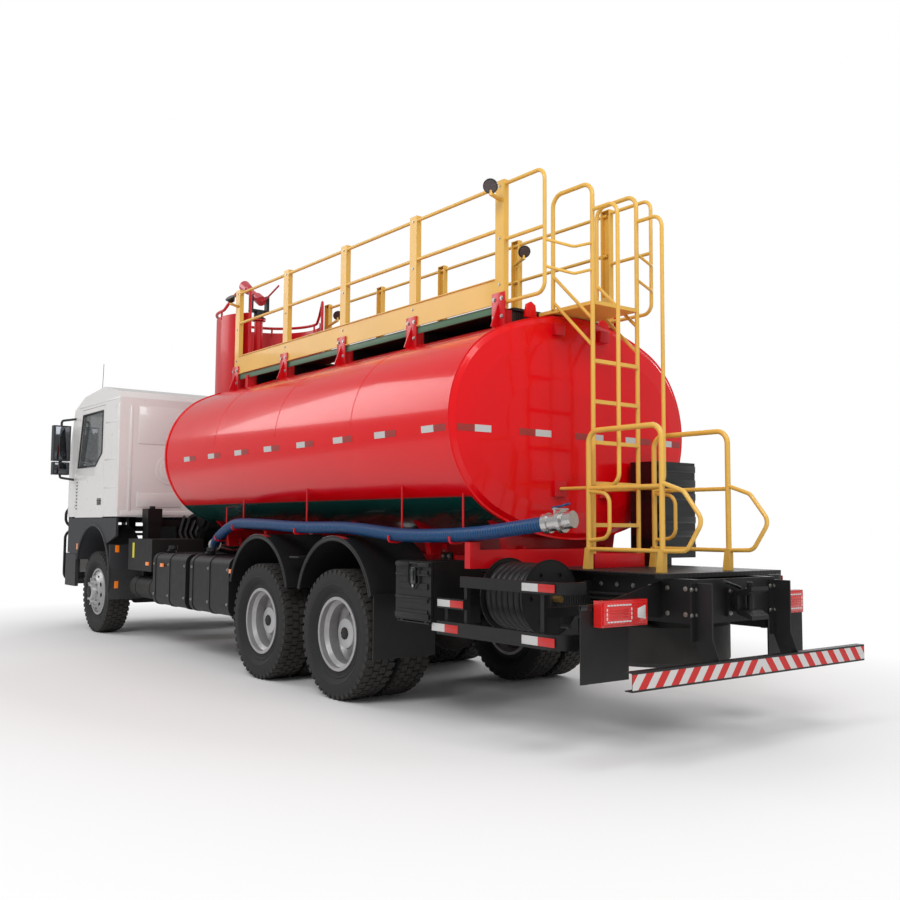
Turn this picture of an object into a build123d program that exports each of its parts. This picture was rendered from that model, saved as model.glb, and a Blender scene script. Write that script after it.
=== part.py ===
from build123d import *
from math import atan2, cos, radians, sin, sqrt
import os

# Three-axle tanker fire truck: cab-over chassis, oval water tank, roof walkway with a
# water cannon in a round basket, rear ladder, hose reel and suction hose.
# X points forwards, Y to the truck's left, Z up. The origin is on the ground under the
# middle of the truck's length and width. Every size is in millimetres.

# Axles and overhangs
WHEELBASE = 4800
BOGIE_SPREAD = 1350
FRONT_OVERHANG = 1460
REAR_OVERHANG = 3190
OVERALL_LENGTH = FRONT_OVERHANG + WHEELBASE + BOGIE_SPREAD + REAR_OVERHANG
REAR_END = -OVERALL_LENGTH / 2
AXLE_3 = REAR_END + REAR_OVERHANG
AXLE_2 = AXLE_3 + BOGIE_SPREAD
AXLE_1 = AXLE_2 + WHEELBASE
FRONT_END = OVERALL_LENGTH / 2

# Clearances
RUN_GAP = 0.3
SHAFT_GAP = 0.05
PANEL_GAP = 6
MOVE_GAP = 8

# Wheels
TYRE_R = 525
TYRE_W = 295
BEAD_R = 286
RIM_W = 230
RIM_LIP = 10
FLANGE_R = 299
DISC_SET = 168
HUB_BORE_R = 42
FRONT_TRACK_Y = 1020
REAR_TRACK_Y = 1085
DUAL_SPACING = 335
KINGPIN_Y = 850
KINGPIN_R = 22
STUDS = 10
STUD_PCD_R = 167.5

# Chassis frame
RAIL_Y = 430
RAIL_H = 280
RAIL_FLANGE = 80
RAIL_T = 9
RAIL_TOP = 1080
RAIL_REAR = AXLE_3 - 3000
RAIL_FRONT = AXLE_1 + 950

# Engine and gearbox
GEARBOX_REAR = AXLE_1 - 1640
ENGINE_HALF_W = 320
ENGINE_REAR = AXLE_1 - 700

# Cab
CAB_REAR = AXLE_1 - 900
CAB_FRONT = AXLE_1 + 1320
CAB_HALF_W = 1220
CAB_FLOOR_Z = 1500
CAB_GUTTER_Z = 3000
CAB_ROOF_Z = 3190
CAB_WALL = 45
CAB_CORNER_R = 230
DOOR_REAR = AXLE_1 - 330
DOOR_FRONT = AXLE_1 + 800

# Tank
TANK_REAR = AXLE_3 - 1546
TANK_LENGTH = 5200
TANK_HALF_W = 1250
TANK_HALF_H = 855
TANK_SIDE_R = 740
TANK_Z = 2170
TANK_DISH = 60
TANK_RIM_W = 30
TANK_RIM_H = 9
TANK_FRONT = TANK_REAR + TANK_LENGTH
TANK_TOP = TANK_Z + TANK_HALF_H

# Roof walkway, railings and cannon basket
RAILING_Y = 580
RAILING_TOP = 4066
POST_PITCH = 1147
POSTS = 5
POST_X0 = TANK_REAR + 216
POST_W = 100
POST_D = 50
WALK_Z = 3080
TUBE_R = 17
BASKET_X = TANK_FRONT + 5
BASKET_R = 620
BASKET_TOP = 3830
CANNON_X = BASKET_X + 290
CANNON_Z = 4180

# Rear ladder and deck
LADDER_X = TANK_REAR - 414
LADDER_HALF_W = 240
LADDER_TOP = 3960
RUNG_PITCH = 300
RUNGS = 5
DECK_Z = 1110
DECK_REAR = TANK_REAR - 1280
SIDE_RAIL_Y = 350
SIDE_RAIL_REAR = LADDER_X - 730

# Load-bearing pieces along the sides
MUDGUARD_R = 600
MUDGUARD_Z = 720
BUMPER_Z = 482
BUMPER_H = 111
BUMPER_HALF_W = 1200
HOSE_R = 50
REEL_R = 260
REEL_Y = 800
REEL_Z = 925
REEL_LENGTH = 430
REEL_X = AXLE_3 - 1885

os.makedirs("parts", exist_ok=True)


def keep(piece, label):
    """Labels a finished piece and writes it."""
    piece.part.label = label
    export_step(piece.part, f"parts/{label}.step")


def axle_plane(x, y, z):
    """A plane whose own X runs along a wheel axle and whose own Y points up."""
    return Plane(origin=(x, y, z), x_dir=(0, 1, 0), z_dir=(1, 0, 0))


def spin_profile(points, x, y, z, side=1, mode=Mode.ADD):
    """Turns (along axle, radius) points about the axle through x, y, z."""
    with BuildSketch(axle_plane(x, y, z)) as profile:
        with BuildLine():
            Polyline(*[(side * u, v) for u, v in points], close=True)
        make_face()
    revolve(profile.sketch, axis=Axis((x, y, z), (0, 1, 0)), mode=mode)


def tube(points, radius, bend=None):
    """Adds a round tube along points, with its corners bent to one radius."""
    with BuildLine(mode=Mode.PRIVATE) as route:
        if bend and len(points) > 2:
            FilletPolyline(*points, radius=bend)
        else:
            Polyline(*points)
    wire = route.wire()
    with BuildSketch(Plane(origin=wire @ 0, z_dir=wire % 0)) as profile:
        Circle(radius)
    sweep(profile.sketch, path=wire, transition=Transition.RIGHT)


def box(x0, x1, y0, y1, z0, z1, mode=Mode.ADD):
    """Adds or cuts a box between two corners."""
    with Locations(((x0 + x1) / 2, (y0 + y1) / 2, (z0 + z1) / 2)):
        Box(abs(x1 - x0), abs(y1 - y0), abs(z1 - z0), mode=mode)


def plate_xz(points, y0, y1, mode=Mode.ADD):
    """Adds or cuts a plate whose outline is seen from the side."""
    with BuildSketch(Plane(origin=(0, max(y0, y1), 0), x_dir=(1, 0, 0), z_dir=(0, -1, 0))) as profile:
        with BuildLine():
            Polyline(*points, close=True)
        make_face()
    extrude(profile.sketch, amount=abs(y1 - y0), mode=mode)


def plate_yz(points, x0, x1, mode=Mode.ADD):
    """Adds or cuts a plate whose outline is seen from the rear."""
    with BuildSketch(Plane(origin=(x0, 0, 0), x_dir=(0, 1, 0), z_dir=(1, 0, 0))) as profile:
        with BuildLine():
            Polyline(*points, close=True)
        make_face()
    extrude(profile.sketch, amount=x1 - x0, mode=mode)


def rod(start, end, radius, mode=Mode.ADD):
    """Adds or cuts a straight round bar between two points."""
    axis = Vector(*end) - Vector(*start)
    with BuildSketch(Plane(origin=start, z_dir=axis)) as profile:
        Circle(radius)
    extrude(profile.sketch, amount=axis.length, mode=mode)


# Wheels

def tyre_section(x, y):
    """Adds one tyre: flat tread, rounded shoulders and bulged side walls."""
    half, bead = TYRE_W / 2, RIM_W / 2 - RIM_LIP - RUN_GAP
    with BuildSketch(axle_plane(x, y, TYRE_R)) as profile:
        with BuildLine():
            Polyline((-bead, 340), (-bead, BEAD_R), (bead, BEAD_R), (bead, 340))
            ThreePointArc((bead, 340), (half, 400), (half - 12, 495))
            Polyline((half - 12, 495), (half - 32, TYRE_R), (32 - half, TYRE_R), (12 - half, 495))
            ThreePointArc((12 - half, 495), (-half, 400), (-bead, 340))
        make_face()
    revolve(profile.sketch, axis=Axis((x, y, TYRE_R), (0, 1, 0)))


def rim_and_disc(x, y, side):
    """Adds a drop-centre rim whose dished disc sits off centre towards side."""
    flange, barrel = RIM_W / 2, BEAD_R - RUN_GAP
    points = [
        (-flange, FLANGE_R), (-flange + RIM_LIP, FLANGE_R), (-flange + RIM_LIP, barrel),
        (flange - RIM_LIP, barrel), (flange - RIM_LIP, FLANGE_R), (flange, FLANGE_R),
        (flange, barrel - 12), (95, barrel - 12), (DISC_SET - 14, 200), (DISC_SET, 190),
        (DISC_SET, 145), (DISC_SET - 13, 145), (DISC_SET - 13, 182), (62, barrel - 14),
        (40, barrel - 40), (-40, barrel - 40), (-70, barrel - 12), (-flange, barrel - 12),
    ]
    spin_profile(points, x, y, TYRE_R, side)


def wheel_nuts(x, y, side):
    """Adds the ring of wheel nuts on the outer face of a disc at y."""
    with BuildSketch(Plane(origin=(x, y, TYRE_R), x_dir=(1, 0, 0), z_dir=(0, side, 0))) as profile:
        with PolarLocations(STUD_PCD_R, STUDS):
            RegularPolygon(17, 6)
    extrude(profile.sketch, amount=26)


def front_wheel(name, side):
    """Builds one front tyre and its rim with the hub and brake drum."""
    y = side * FRONT_TRACK_Y
    with BuildPart() as tyre:
        tyre_section(AXLE_1, y)
    keep(tyre, f"front_{name}_tyre")
    with BuildPart() as rim:
        rim_and_disc(AXLE_1, y, side)
        hub = [
            (-75, HUB_BORE_R), (-75, 195), (35, 205), (35, 150), (DISC_SET - 13, 145), (DISC_SET, 145),
            (DISC_SET, 118), (DISC_SET + 45, 105), (DISC_SET + 55, 80), (DISC_SET + 55, 0),
            (DISC_SET - 10, 0), (DISC_SET - 10, HUB_BORE_R),
        ]
        spin_profile(hub, AXLE_1, y, TYRE_R, side)
        wheel_nuts(AXLE_1, y + side * DISC_SET, side)
    keep(rim, f"front_{name}_rim")


def dual_wheel(name, x, side):
    """Builds a twin wheel: two tyres, and two rims bolted disc to disc on one hub."""
    outer = side * REAR_TRACK_Y
    inner = side * (REAR_TRACK_Y - DUAL_SPACING)
    middle = (outer + inner) / 2
    with BuildPart() as tyres:
        tyre_section(x, outer)
        tyre_section(x, inner)
    keep(tyres, f"{name}_tyres")
    with BuildPart() as rims:
        rim_and_disc(x, outer, -side)
        rim_and_disc(x, inner, side)
        hub = [
            (-230, HUB_BORE_R), (-230, 200), (-60, 208), (-60, 150), (-13, 146), (150, 146),
            (172, 128), (196, 118), (204, 50), (204, 0), (20, 0), (20, HUB_BORE_R),
        ]
        spin_profile(hub, x, middle, TYRE_R, side)
        wheel_nuts(x, middle + side * 13, side)
    keep(rims, f"{name}_rims")


for name, side in (("left", 1), ("right", -1)):
    front_wheel(name, side)
    dual_wheel(f"middle_{name}", AXLE_2, side)
    dual_wheel(f"rear_{name}", AXLE_3, side)


# Axles, knuckles and springs

EYE_R = 50
EYE_HALF_H = 45
LUG_H = 36
SPINDLE_R = HUB_BORE_R - SHAFT_GAP


def knuckle(name, side):
    """Builds a steering knuckle: two kingpin lugs, a web and the wheel spindle."""
    pin_y, web_y = side * KINGPIN_Y, side * (KINGPIN_Y + EYE_R + MOVE_GAP)
    lug_z = EYE_HALF_H + MOVE_GAP
    with BuildPart() as part:
        for up in (1, -1):
            z0 = TYRE_R + up * lug_z
            z1 = z0 + up * LUG_H
            rod((AXLE_1, pin_y, z0), (AXLE_1, pin_y, z1), EYE_R - 4)
            box(AXLE_1 - 40, AXLE_1 + 40, pin_y, web_y + side * 8, z0, z1)
        top = TYRE_R + lug_z + LUG_H
        box(AXLE_1 - 40, AXLE_1 + 40, web_y, web_y + side * 22, 2 * TYRE_R - top, top)
        rod((AXLE_1, web_y, TYRE_R), (AXLE_1, side * (FRONT_TRACK_Y + DISC_SET - 25), TYRE_R), SPINDLE_R)
        rod((AXLE_1, pin_y, 2 * TYRE_R - top - 10), (AXLE_1, pin_y, top + 10), KINGPIN_R)
        arm_z = 2 * TYRE_R - top - 26
        plate = [
            (AXLE_1 + 35, pin_y + side * 20), (AXLE_1 - 40, pin_y + side * 20),
            (AXLE_1 - 230, pin_y - side * 70), (AXLE_1 - 230, pin_y - side * 110),
            (AXLE_1 - 40, pin_y - side * 40),
        ]
        with BuildSketch(Plane.XY.offset(arm_z)):
            with BuildLine():
                Polyline(*plate, close=True)
            make_face()
        extrude(amount=26)
    keep(part, f"{name}_knuckle")


for name, side in (("left", 1), ("right", -1)):
    knuckle(name, side)

BEAM_Z = TYRE_R - 120

with BuildPart() as front_axle:
    # Forged beam, dropped in the middle and upswept to an eye at each end
    level = KINGPIN_Y - 60
    beam = [(-KINGPIN_Y, TYRE_R + 35), (-KINGPIN_Y, TYRE_R - 35), (-level, TYRE_R - 35),
            (-640, BEAM_Z - 45), (640, BEAM_Z - 45), (level, TYRE_R - 35), (KINGPIN_Y, TYRE_R - 35),
            (KINGPIN_Y, TYRE_R + 35), (level, TYRE_R + 35), (600, BEAM_Z + 45), (-600, BEAM_Z + 45),
            (-level, TYRE_R + 35)]
    plate_yz(beam, AXLE_1 - 38, AXLE_1 + 38)
    for side in (1, -1):
        pin_y = side * KINGPIN_Y
        rod((AXLE_1, pin_y, TYRE_R - EYE_HALF_H), (AXLE_1, pin_y, TYRE_R + EYE_HALF_H), EYE_R)
        rod((AXLE_1, pin_y, TYRE_R - 60), (AXLE_1, pin_y, TYRE_R + 60), KINGPIN_R + SHAFT_GAP, Mode.SUBTRACT)
        box(AXLE_1 - 70, AXLE_1 + 70, side * 380, side * 480, BEAM_Z + 45, BEAM_Z + 75)
keep(front_axle, "front_axle")

HOUSING_END = REAR_TRACK_Y - DUAL_SPACING / 2 - 230 - MOVE_GAP


def drive_axle(x):
    """Adds one driven axle: round differential bowl, tapered tubes and two spindles."""
    with BuildSketch(axle_plane(x, 0, TYRE_R)) as profile:
        with BuildLine():
            Polyline((-HOUSING_END, 0), (-HOUSING_END, 95), (-HOUSING_END + 40, 95), (-HOUSING_END + 50, 70),
                     (-260, 85), (-170, 150))
            ThreePointArc((-170, 150), (0, 215), (170, 150))
            Polyline((170, 150), (260, 85), (HOUSING_END - 50, 70), (HOUSING_END - 40, 95), (HOUSING_END, 95),
                     (HOUSING_END, 0), (-HOUSING_END, 0))
        make_face()
    revolve(profile.sketch, axis=Axis((x, 0, TYRE_R), (0, 1, 0)))
    tip = REAR_TRACK_Y - DUAL_SPACING / 2 + 10
    rod((x, -tip, TYRE_R), (x, tip, TYRE_R), SPINDLE_R)
    # Pinion nose towards the front
    rod((x + 120, 0, TYRE_R + 30), (x + 330, 0, TYRE_R + 30), 95)


with BuildPart() as drive_line:
    drive_axle(AXLE_2)
    drive_axle(AXLE_3)
    shaft_z = TYRE_R + 30
    rod((AXLE_3 + 320, 0, shaft_z), (AXLE_2 - 180, 0, shaft_z), 50)
    rod((AXLE_2 + 320, 0, shaft_z), (GEARBOX_REAR - 60, 0, 820), 60)
    rod((GEARBOX_REAR - 90, 0, 820), (GEARBOX_REAR, 0, 820), 70)
keep(drive_line, "drive_line")


def leaf_pack(x, y, z, half_length, leaves, rise):
    """Adds a pack of bowed leaves, each shorter than the one above it."""
    thick, width = 16, 80
    for leaf in range(leaves):
        reach = half_length * (1 - leaf / (leaves + 1))
        drop = rise * (reach / half_length) ** 2
        z0 = z - leaf * thick
        with BuildSketch(Plane(origin=(x, y + width / 2, z0), x_dir=(1, 0, 0), z_dir=(0, -1, 0))) as profile:
            with BuildLine():
                ThreePointArc((-reach, drop), (0, 0), (reach, drop))
                Line((reach, drop), (reach, drop + thick))
                ThreePointArc((reach, drop + thick), (0, thick), (-reach, drop + thick))
                Line((-reach, drop + thick), (-reach, drop))
            make_face()
        extrude(profile.sketch, amount=width)


with BuildPart() as leaf_springs:
    for side in (1, -1):
        front_y = side * 430
        leaf_pack(AXLE_1, front_y, BEAM_Z + 75 + 48, 780, 3, 130)
        for end in (1, -1):
            x = AXLE_1 + end * 780
            box(x - 25, x + 25, front_y - 40, front_y + 40, BEAM_Z + 250, RAIL_TOP - RAIL_H)
        box(AXLE_1 - 60, AXLE_1 + 60, front_y - 40, front_y + 40, BEAM_Z + 75, BEAM_Z + 91)
        middle = (AXLE_2 + AXLE_3) / 2
        spring_y = side * (RAIL_Y + 55)
        leaf_pack(middle, spring_y, TYRE_R + 215, 640, 4, -60)
        box(middle - 110, middle + 110, side * RAIL_Y, side * (RAIL_Y + 95), 640, 890)
        for x in (AXLE_2, AXLE_3):
            box(x - 60, x + 60, spring_y - 40, spring_y + 40, TYRE_R + 60, TYRE_R + 160)
    add(drive_line.part, mode=Mode.SUBTRACT)
keep(leaf_springs, "leaf_springs")


# Chassis frame

def channel_rail(side):
    """Adds one long C rail, open towards the middle of the truck."""
    outer = side * RAIL_Y
    lip = side * (RAIL_Y - RAIL_FLANGE)
    web = side * (RAIL_Y - RAIL_T)
    low, high, thick = RAIL_TOP - RAIL_H, RAIL_TOP, RAIL_T
    points = [(outer, low), (lip, low), (lip, low + thick), (web, low + thick),
              (web, high - thick), (lip, high - thick), (lip, high), (outer, high)]
    plate_yz(points, RAIL_REAR, RAIL_FRONT)


def cross_tube(x, z, radius=60):
    """Adds a round cross member between the two rails."""
    rod((x, -RAIL_Y + RAIL_T, z), (x, RAIL_Y - RAIL_T, z), radius)


with BuildPart() as chassis_frame:
    channel_rail(1)
    channel_rail(-1)
    for x in (AXLE_3 - 1500, (AXLE_2 + AXLE_3) / 2, AXLE_2 + 1200, AXLE_2 + 2500):
        cross_tube(x, RAIL_TOP - RAIL_H / 2)
    # Rear cross member, closed by a plate with the tow hole
    box(RAIL_REAR, RAIL_REAR + 14, -RAIL_Y, RAIL_Y, RAIL_TOP - RAIL_H, RAIL_TOP)
    # Front cross member that carries the bumper
    box(RAIL_FRONT - 60, RAIL_FRONT, -RAIL_Y, RAIL_Y, RAIL_TOP - RAIL_H, RAIL_TOP)
    for side in (1, -1):
        # Cab mounts
        box(CAB_REAR + 40, CAB_REAR + 160, side * 330, side * 430, RAIL_TOP, CAB_FLOOR_Z)
        box(CAB_FRONT - 420, CAB_FRONT - 320, side * 330, side * 430, RAIL_TOP, CAB_FLOOR_Z)
        # Engine mounts
        for x in (AXLE_1 - 450, AXLE_1 + 350):
            box(x - 40, x + 40, side * ENGINE_HALF_W, side * (RAIL_Y - RAIL_T), 850, 930)
        # Tapered arms that carry the rear lamps
        plate = [(side * RAIL_Y, 1060), (side * RAIL_Y, 830), (side * 1020, 850), (side * 1020, 930)]
        plate_yz(plate, AXLE_3 - 2745, AXLE_3 - 2735)
keep(chassis_frame, "chassis_frame")

with BuildPart() as engine:
    # Engine and gearbox as one closed mass
    box(ENGINE_REAR, AXLE_1 + 650, -ENGINE_HALF_W, ENGINE_HALF_W, 620, 1440)
    box(GEARBOX_REAR, ENGINE_REAR, -230, 230, 640, 1090)
    with BuildSketch(Plane(origin=(AXLE_1 + 650, 0, 1080), x_dir=(0, 1, 0), z_dir=(1, 0, 0))):
        Circle(320)
    extrude(amount=60)
keep(engine, "engine")

with BuildPart() as intake_gear:
    # Cab's rear support, air filter, fluid bottle and pipes in the gap behind the cab
    for side in (1, -1):
        y0, y1 = sorted((side * (RAIL_Y - RAIL_FLANGE), side * RAIL_Y))
        box(CAB_REAR - 110, CAB_REAR - 40, y0, y1, RAIL_TOP, 1380)
    box(CAB_REAR - 110, CAB_REAR - 30, -900, 900, 1380, 1460)
    filter_x = CAB_REAR - 560
    rod((filter_x, -500, 1500), (filter_x, 330, 1500), 190)
    rod((filter_x, 330, 1500), (filter_x, 360, 1500), 120)
    for side in (1, -1):
        y0, y1 = sorted((side * (RAIL_Y - RAIL_FLANGE), side * (RAIL_Y - 40)))
        box(filter_x - 60, filter_x + 60, y0, y1, RAIL_TOP, 1330)
    tube([(filter_x, -200, 1450), (filter_x + 230, -200, 1250), (ENGINE_REAR, -200, 1250)], 60, 90)
    tube([(filter_x + 120, 120, 1500), (filter_x + 300, 120, 1560), (CAB_REAR - 60, 300, 1500),
          (CAB_REAR - 60, 300, 1440)], 32, 70)
    box(CAB_REAR - 320, CAB_REAR - 140, 780, 940, 1230, 1420)
    box(CAB_REAR - 330, CAB_REAR - 130, 770, 950, 1420, 1600)
    rod((CAB_REAR - 230, 860, 1600), (CAB_REAR - 230, 860, 1630), 35)
keep(intake_gear, "intake_gear")


# Cab

def front_corners():
    """The two foremost corners of the open sketch."""
    return BuildSketch._get_context().vertices().group_by(Axis.X)[-1]


def cab_envelope(inset, low=CAB_FLOOR_Z):
    """The cab's rounded outline, moved inwards by inset; side view crossed with plan."""
    rear, front, half = CAB_REAR + inset, CAB_FRONT - inset, CAB_HALF_W - inset
    gutter, roof = CAB_GUTTER_Z - inset, CAB_ROOF_Z - inset
    side_view = [
        (rear, low + inset), (rear, gutter), (rear + 60, gutter + 80), (rear + 620, roof),
        (front - 800, roof - 60), (front - 380, gutter - 20), (front - 60, 2010), (front, 1760),
        (front, low + inset),
    ]
    with BuildPart() as envelope:
        plate_xz(side_view, -half, half)
        with BuildSketch(Plane.XY.offset(low)):
            with BuildLine():
                Polyline((rear, half), (rear, -half), (front, -half), (front, half), close=True)
            make_face()
            fillet(front_corners(), radius=CAB_CORNER_R - inset)
        extrude(amount=roof - low + 200, mode=Mode.INTERSECT)
    return envelope.part


DOOR_LOW = CAB_FLOOR_Z - 10
DOOR_TOP = CAB_GUTTER_Z - 55
HINGE_X = DOOR_FRONT + PANEL_GAP / 2
HINGE_OUT = 9
HINGE_Z = (1680, 2060)
HINGE_PIN_R = 4


def fixed_hinge(side, z):
    """Adds the cab's half of a door hinge: two outer knuckles, their leaf and the pin."""
    y = side * (CAB_HALF_W + HINGE_OUT)
    for low in (z - 40, z + 21):
        rod((HINGE_X, y, low), (HINGE_X, y, low + 19), HINGE_OUT)
        box(HINGE_X, HINGE_X + 45, side * CAB_HALF_W, y, low, low + 19)
    rod((HINGE_X, y, z - 40), (HINGE_X, y, z + 40), HINGE_PIN_R)


def moving_hinge(side, z):
    """Adds the door's half of a hinge, bored to run on the pin."""
    y = side * (CAB_HALF_W + HINGE_OUT)
    rod((HINGE_X, y, z - 20.5), (HINGE_X, y, z + 20.5), HINGE_OUT)
    box(HINGE_X - 45, HINGE_X, side * CAB_HALF_W, y, z - 20.5, z + 20.5)
    rod((HINGE_X, y, z - 21), (HINGE_X, y, z + 21), HINGE_PIN_R + SHAFT_GAP, Mode.SUBTRACT)


door_outline = [
    (DOOR_REAR, DOOR_LOW), (DOOR_REAR, DOOR_TOP), (DOOR_FRONT - 190, DOOR_TOP), (DOOR_FRONT, 2160),
    (DOOR_FRONT, DOOR_LOW),
]
window_outline = [
    (DOOR_REAR + 75, 2330), (DOOR_REAR + 70, DOOR_TOP - 65), (DOOR_FRONT - 245, DOOR_TOP - 65),
    (DOOR_FRONT - 75, 2170), (DOOR_REAR + 330, 2165),
]


def outline_solid(points, gap, y0, y1):
    """A private solid between y0 and y1 from a side outline grown by gap."""
    with BuildPart() as solid:
        with BuildSketch(Plane(origin=(0, y1, 0), x_dir=(1, 0, 0), z_dir=(0, -1, 0))):
            with BuildLine():
                Polyline(*points, close=True)
            make_face()
            if gap:
                offset(amount=gap, kind=Kind.INTERSECTION)
        extrude(amount=y1 - y0)
    return solid.part


cab_outer = cab_envelope(0)
cab_inner = cab_envelope(CAB_WALL)
WINDSCREEN_LOW = 2030
WINDSCREEN_HIGH = 2920
WINDSCREEN_HALF = 1010

with BuildPart() as cab_shell:
    add(cab_outer)
    add(cab_inner, mode=Mode.SUBTRACT)
    for side in (1, -1):
        y0, y1 = sorted((side * (CAB_HALF_W - CAB_WALL - MOVE_GAP), side * (CAB_HALF_W + 20)))
        add(outline_solid(door_outline, PANEL_GAP, y0, y1), mode=Mode.SUBTRACT)
    box(CAB_FRONT - 560, CAB_FRONT + 20, -WINDSCREEN_HALF, WINDSCREEN_HALF, WINDSCREEN_LOW, WINDSCREEN_HIGH,
        Mode.SUBTRACT)
    for side in (1, -1):
        for z in HINGE_Z:
            fixed_hinge(side, z)
keep(cab_shell, "cab_shell")

with BuildPart() as windscreen:
    add(cab_envelope(6))
    add(cab_envelope(14), mode=Mode.SUBTRACT)
    box(CAB_FRONT - 560, CAB_FRONT + 20, -WINDSCREEN_HALF, WINDSCREEN_HALF, WINDSCREEN_LOW, WINDSCREEN_HIGH,
        Mode.INTERSECT)
keep(windscreen, "windscreen")


def door(name, side):
    """Builds a door, as thick as the cab wall, and its glass."""
    outer = side * CAB_HALF_W
    y0, y1 = sorted((outer, side * (CAB_HALF_W - CAB_WALL)))
    with BuildPart() as panel:
        add(outline_solid(door_outline, 0, y0, y1))
        add(outline_solid(window_outline, 0, y0 - 1, y1 + 1), mode=Mode.SUBTRACT)
        # Recessed pull handle near the rear edge
        box(DOOR_REAR + 60, DOOR_REAR + 230, outer - side * 18, outer, 1650, 1740, Mode.SUBTRACT)
        box(DOOR_REAR + 70, DOOR_REAR + 220, outer - side * 18, outer - side * 4, 1705, 1725)
        for z in HINGE_Z:
            moving_hinge(side, z)
    keep(panel, f"{name}_door")
    g0, g1 = sorted((side * (CAB_HALF_W - 14), side * (CAB_HALF_W - 20)))
    with BuildPart() as glass:
        add(outline_solid(window_outline, 0, g0, g1))
    keep(glass, f"{name}_door_glass")


for name, side in (("left", 1), ("right", -1)):
    door(name, side)


def seat(x, y):
    """Adds a seat: pedestal, cushion and raked back."""
    z = CAB_FLOOR_Z + CAB_WALL
    box(x - 180, x + 180, y - 180, y + 180, z, z + 260)
    box(x - 260, x + 260, y - 250, y + 250, z + 260, z + 380)
    back = [(x - 260, z + 330), (x - 140, z + 380), (x - 260, z + 1130), (x - 360, z + 1130)]
    plate_xz(back, y - 240, y + 240)


with BuildPart() as cab_interior:
    for side in (1, -1):
        seat(AXLE_1 + 110, side * 700)
    floor = CAB_FLOOR_Z + CAB_WALL
    dash = [(AXLE_1 + 830, floor + 330), (AXLE_1 + 860, floor + 500), (CAB_FRONT - 90, floor + 440),
            (CAB_FRONT - 50, floor + 150), (CAB_FRONT - 120, floor + 150)]
    plate_xz(dash, -1050, 1050)
    box(CAB_FRONT - 260, CAB_FRONT - 120, -300, 300, floor, floor + 200)
    # Steering column and wheel in front of the left seat
    hub = Vector(AXLE_1 + 640, 700, floor + 640)
    lean = Vector(-cos(radians(55)), 0, sin(radians(55)))
    foot = hub - lean * 360
    rod(tuple(foot), tuple(hub), 28)
    with BuildSketch(Plane(origin=hub, x_dir=(0, 1, 0), z_dir=lean)):
        Circle(225)
        Circle(197, mode=Mode.SUBTRACT)
        Rectangle(410, 34)
        Circle(60)
    extrude(amount=22)
    add(cab_envelope(CAB_WALL + RUN_GAP), mode=Mode.INTERSECT)
keep(cab_interior, "cab_interior")


def front_band(inset, low, high, rear):
    """A private band of the cab's plan outline, open at the rear, between two heights."""
    front, half = CAB_FRONT + 20 - inset, CAB_HALF_W - inset
    with BuildPart() as band:
        with BuildSketch(Plane.XY.offset(low)):
            with BuildLine():
                Polyline((rear, half), (rear, -half), (front, -half), (front, half), close=True)
            make_face()
            fillet(front_corners(), radius=CAB_CORNER_R - inset)
        extrude(amount=high - low)
    return band.part


with BuildPart() as grille:
    # Lower front panel with its air slots and three upright ribs
    add(front_band(20, 1010, CAB_FLOOR_Z, AXLE_1 + 1000))
    add(front_band(50, 1010, CAB_FLOOR_Z, AXLE_1 + 990), mode=Mode.SUBTRACT)
    for slot in range(4):
        z = 1090 + 95 * slot
        box(CAB_FRONT - 60, CAB_FRONT + 40, -700, 700, z, z + 55, Mode.SUBTRACT)
    for y in (-350, 0, 350):
        box(CAB_FRONT - 40, CAB_FRONT - 10, y - 12, y + 12, 1050, 1470)
keep(grille, "grille")

with BuildPart() as front_bumper:
    add(front_band(0, 560, 1000, AXLE_1 + 700))
    add(front_band(45, 560, 1000, AXLE_1 + 690), mode=Mode.SUBTRACT)
    # Lamp pockets, lower air slot and the brackets to the frame
    for side in (1, -1):
        y0, y1 = sorted((side * 700, side * 960))
        box(CAB_FRONT - 80, CAB_FRONT + 60, y0, y1, 740, 910, Mode.SUBTRACT)
        box(RAIL_FRONT, CAB_FRONT - 20, side * 340, side * 420, 820, 960)
    box(CAB_FRONT - 60, CAB_FRONT + 60, -520, 520, 640, 760, Mode.SUBTRACT)
keep(front_bumper, "front_bumper")

with BuildPart() as head_lamps:
    for side in (1, -1):
        y0, y1 = sorted((side * 703, side * 957))
        box(CAB_FRONT - 45, CAB_FRONT + 8, y0, y1, 743, 907)
        box(CAB_FRONT - 45, CAB_FRONT - 25, y0 - 20, y1 + 20, 723, 927)
keep(head_lamps, "head_lamps")

GUARD_X = FRONT_END - 20

with BuildPart() as guard_bars:
    # Two stacked tube loops across the front, on four posts from the bumper
    for low, high in ((600, 1320), (1362, 1650)):
        bend = 120
        half = 1150
        loop = [(GUARD_X, 0, low), (GUARD_X, half, low), (GUARD_X, half, high), (GUARD_X, -half, high),
                (GUARD_X, -half, low), (GUARD_X, -1, low)]
        tube(loop, 19, bend)
    for side in (1, -1):
        for y in (330, 640):
            rod((GUARD_X, side * y, 600), (GUARD_X, side * y, 1650), 16)
        box(CAB_FRONT + 20, GUARD_X, side * 330 - 16, side * 330 + 16, 600, 660)
        box(CAB_FRONT + 20, GUARD_X, side * 330 - 16, side * 330 + 16, 930, 980)
keep(guard_bars, "guard_bars")

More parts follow.
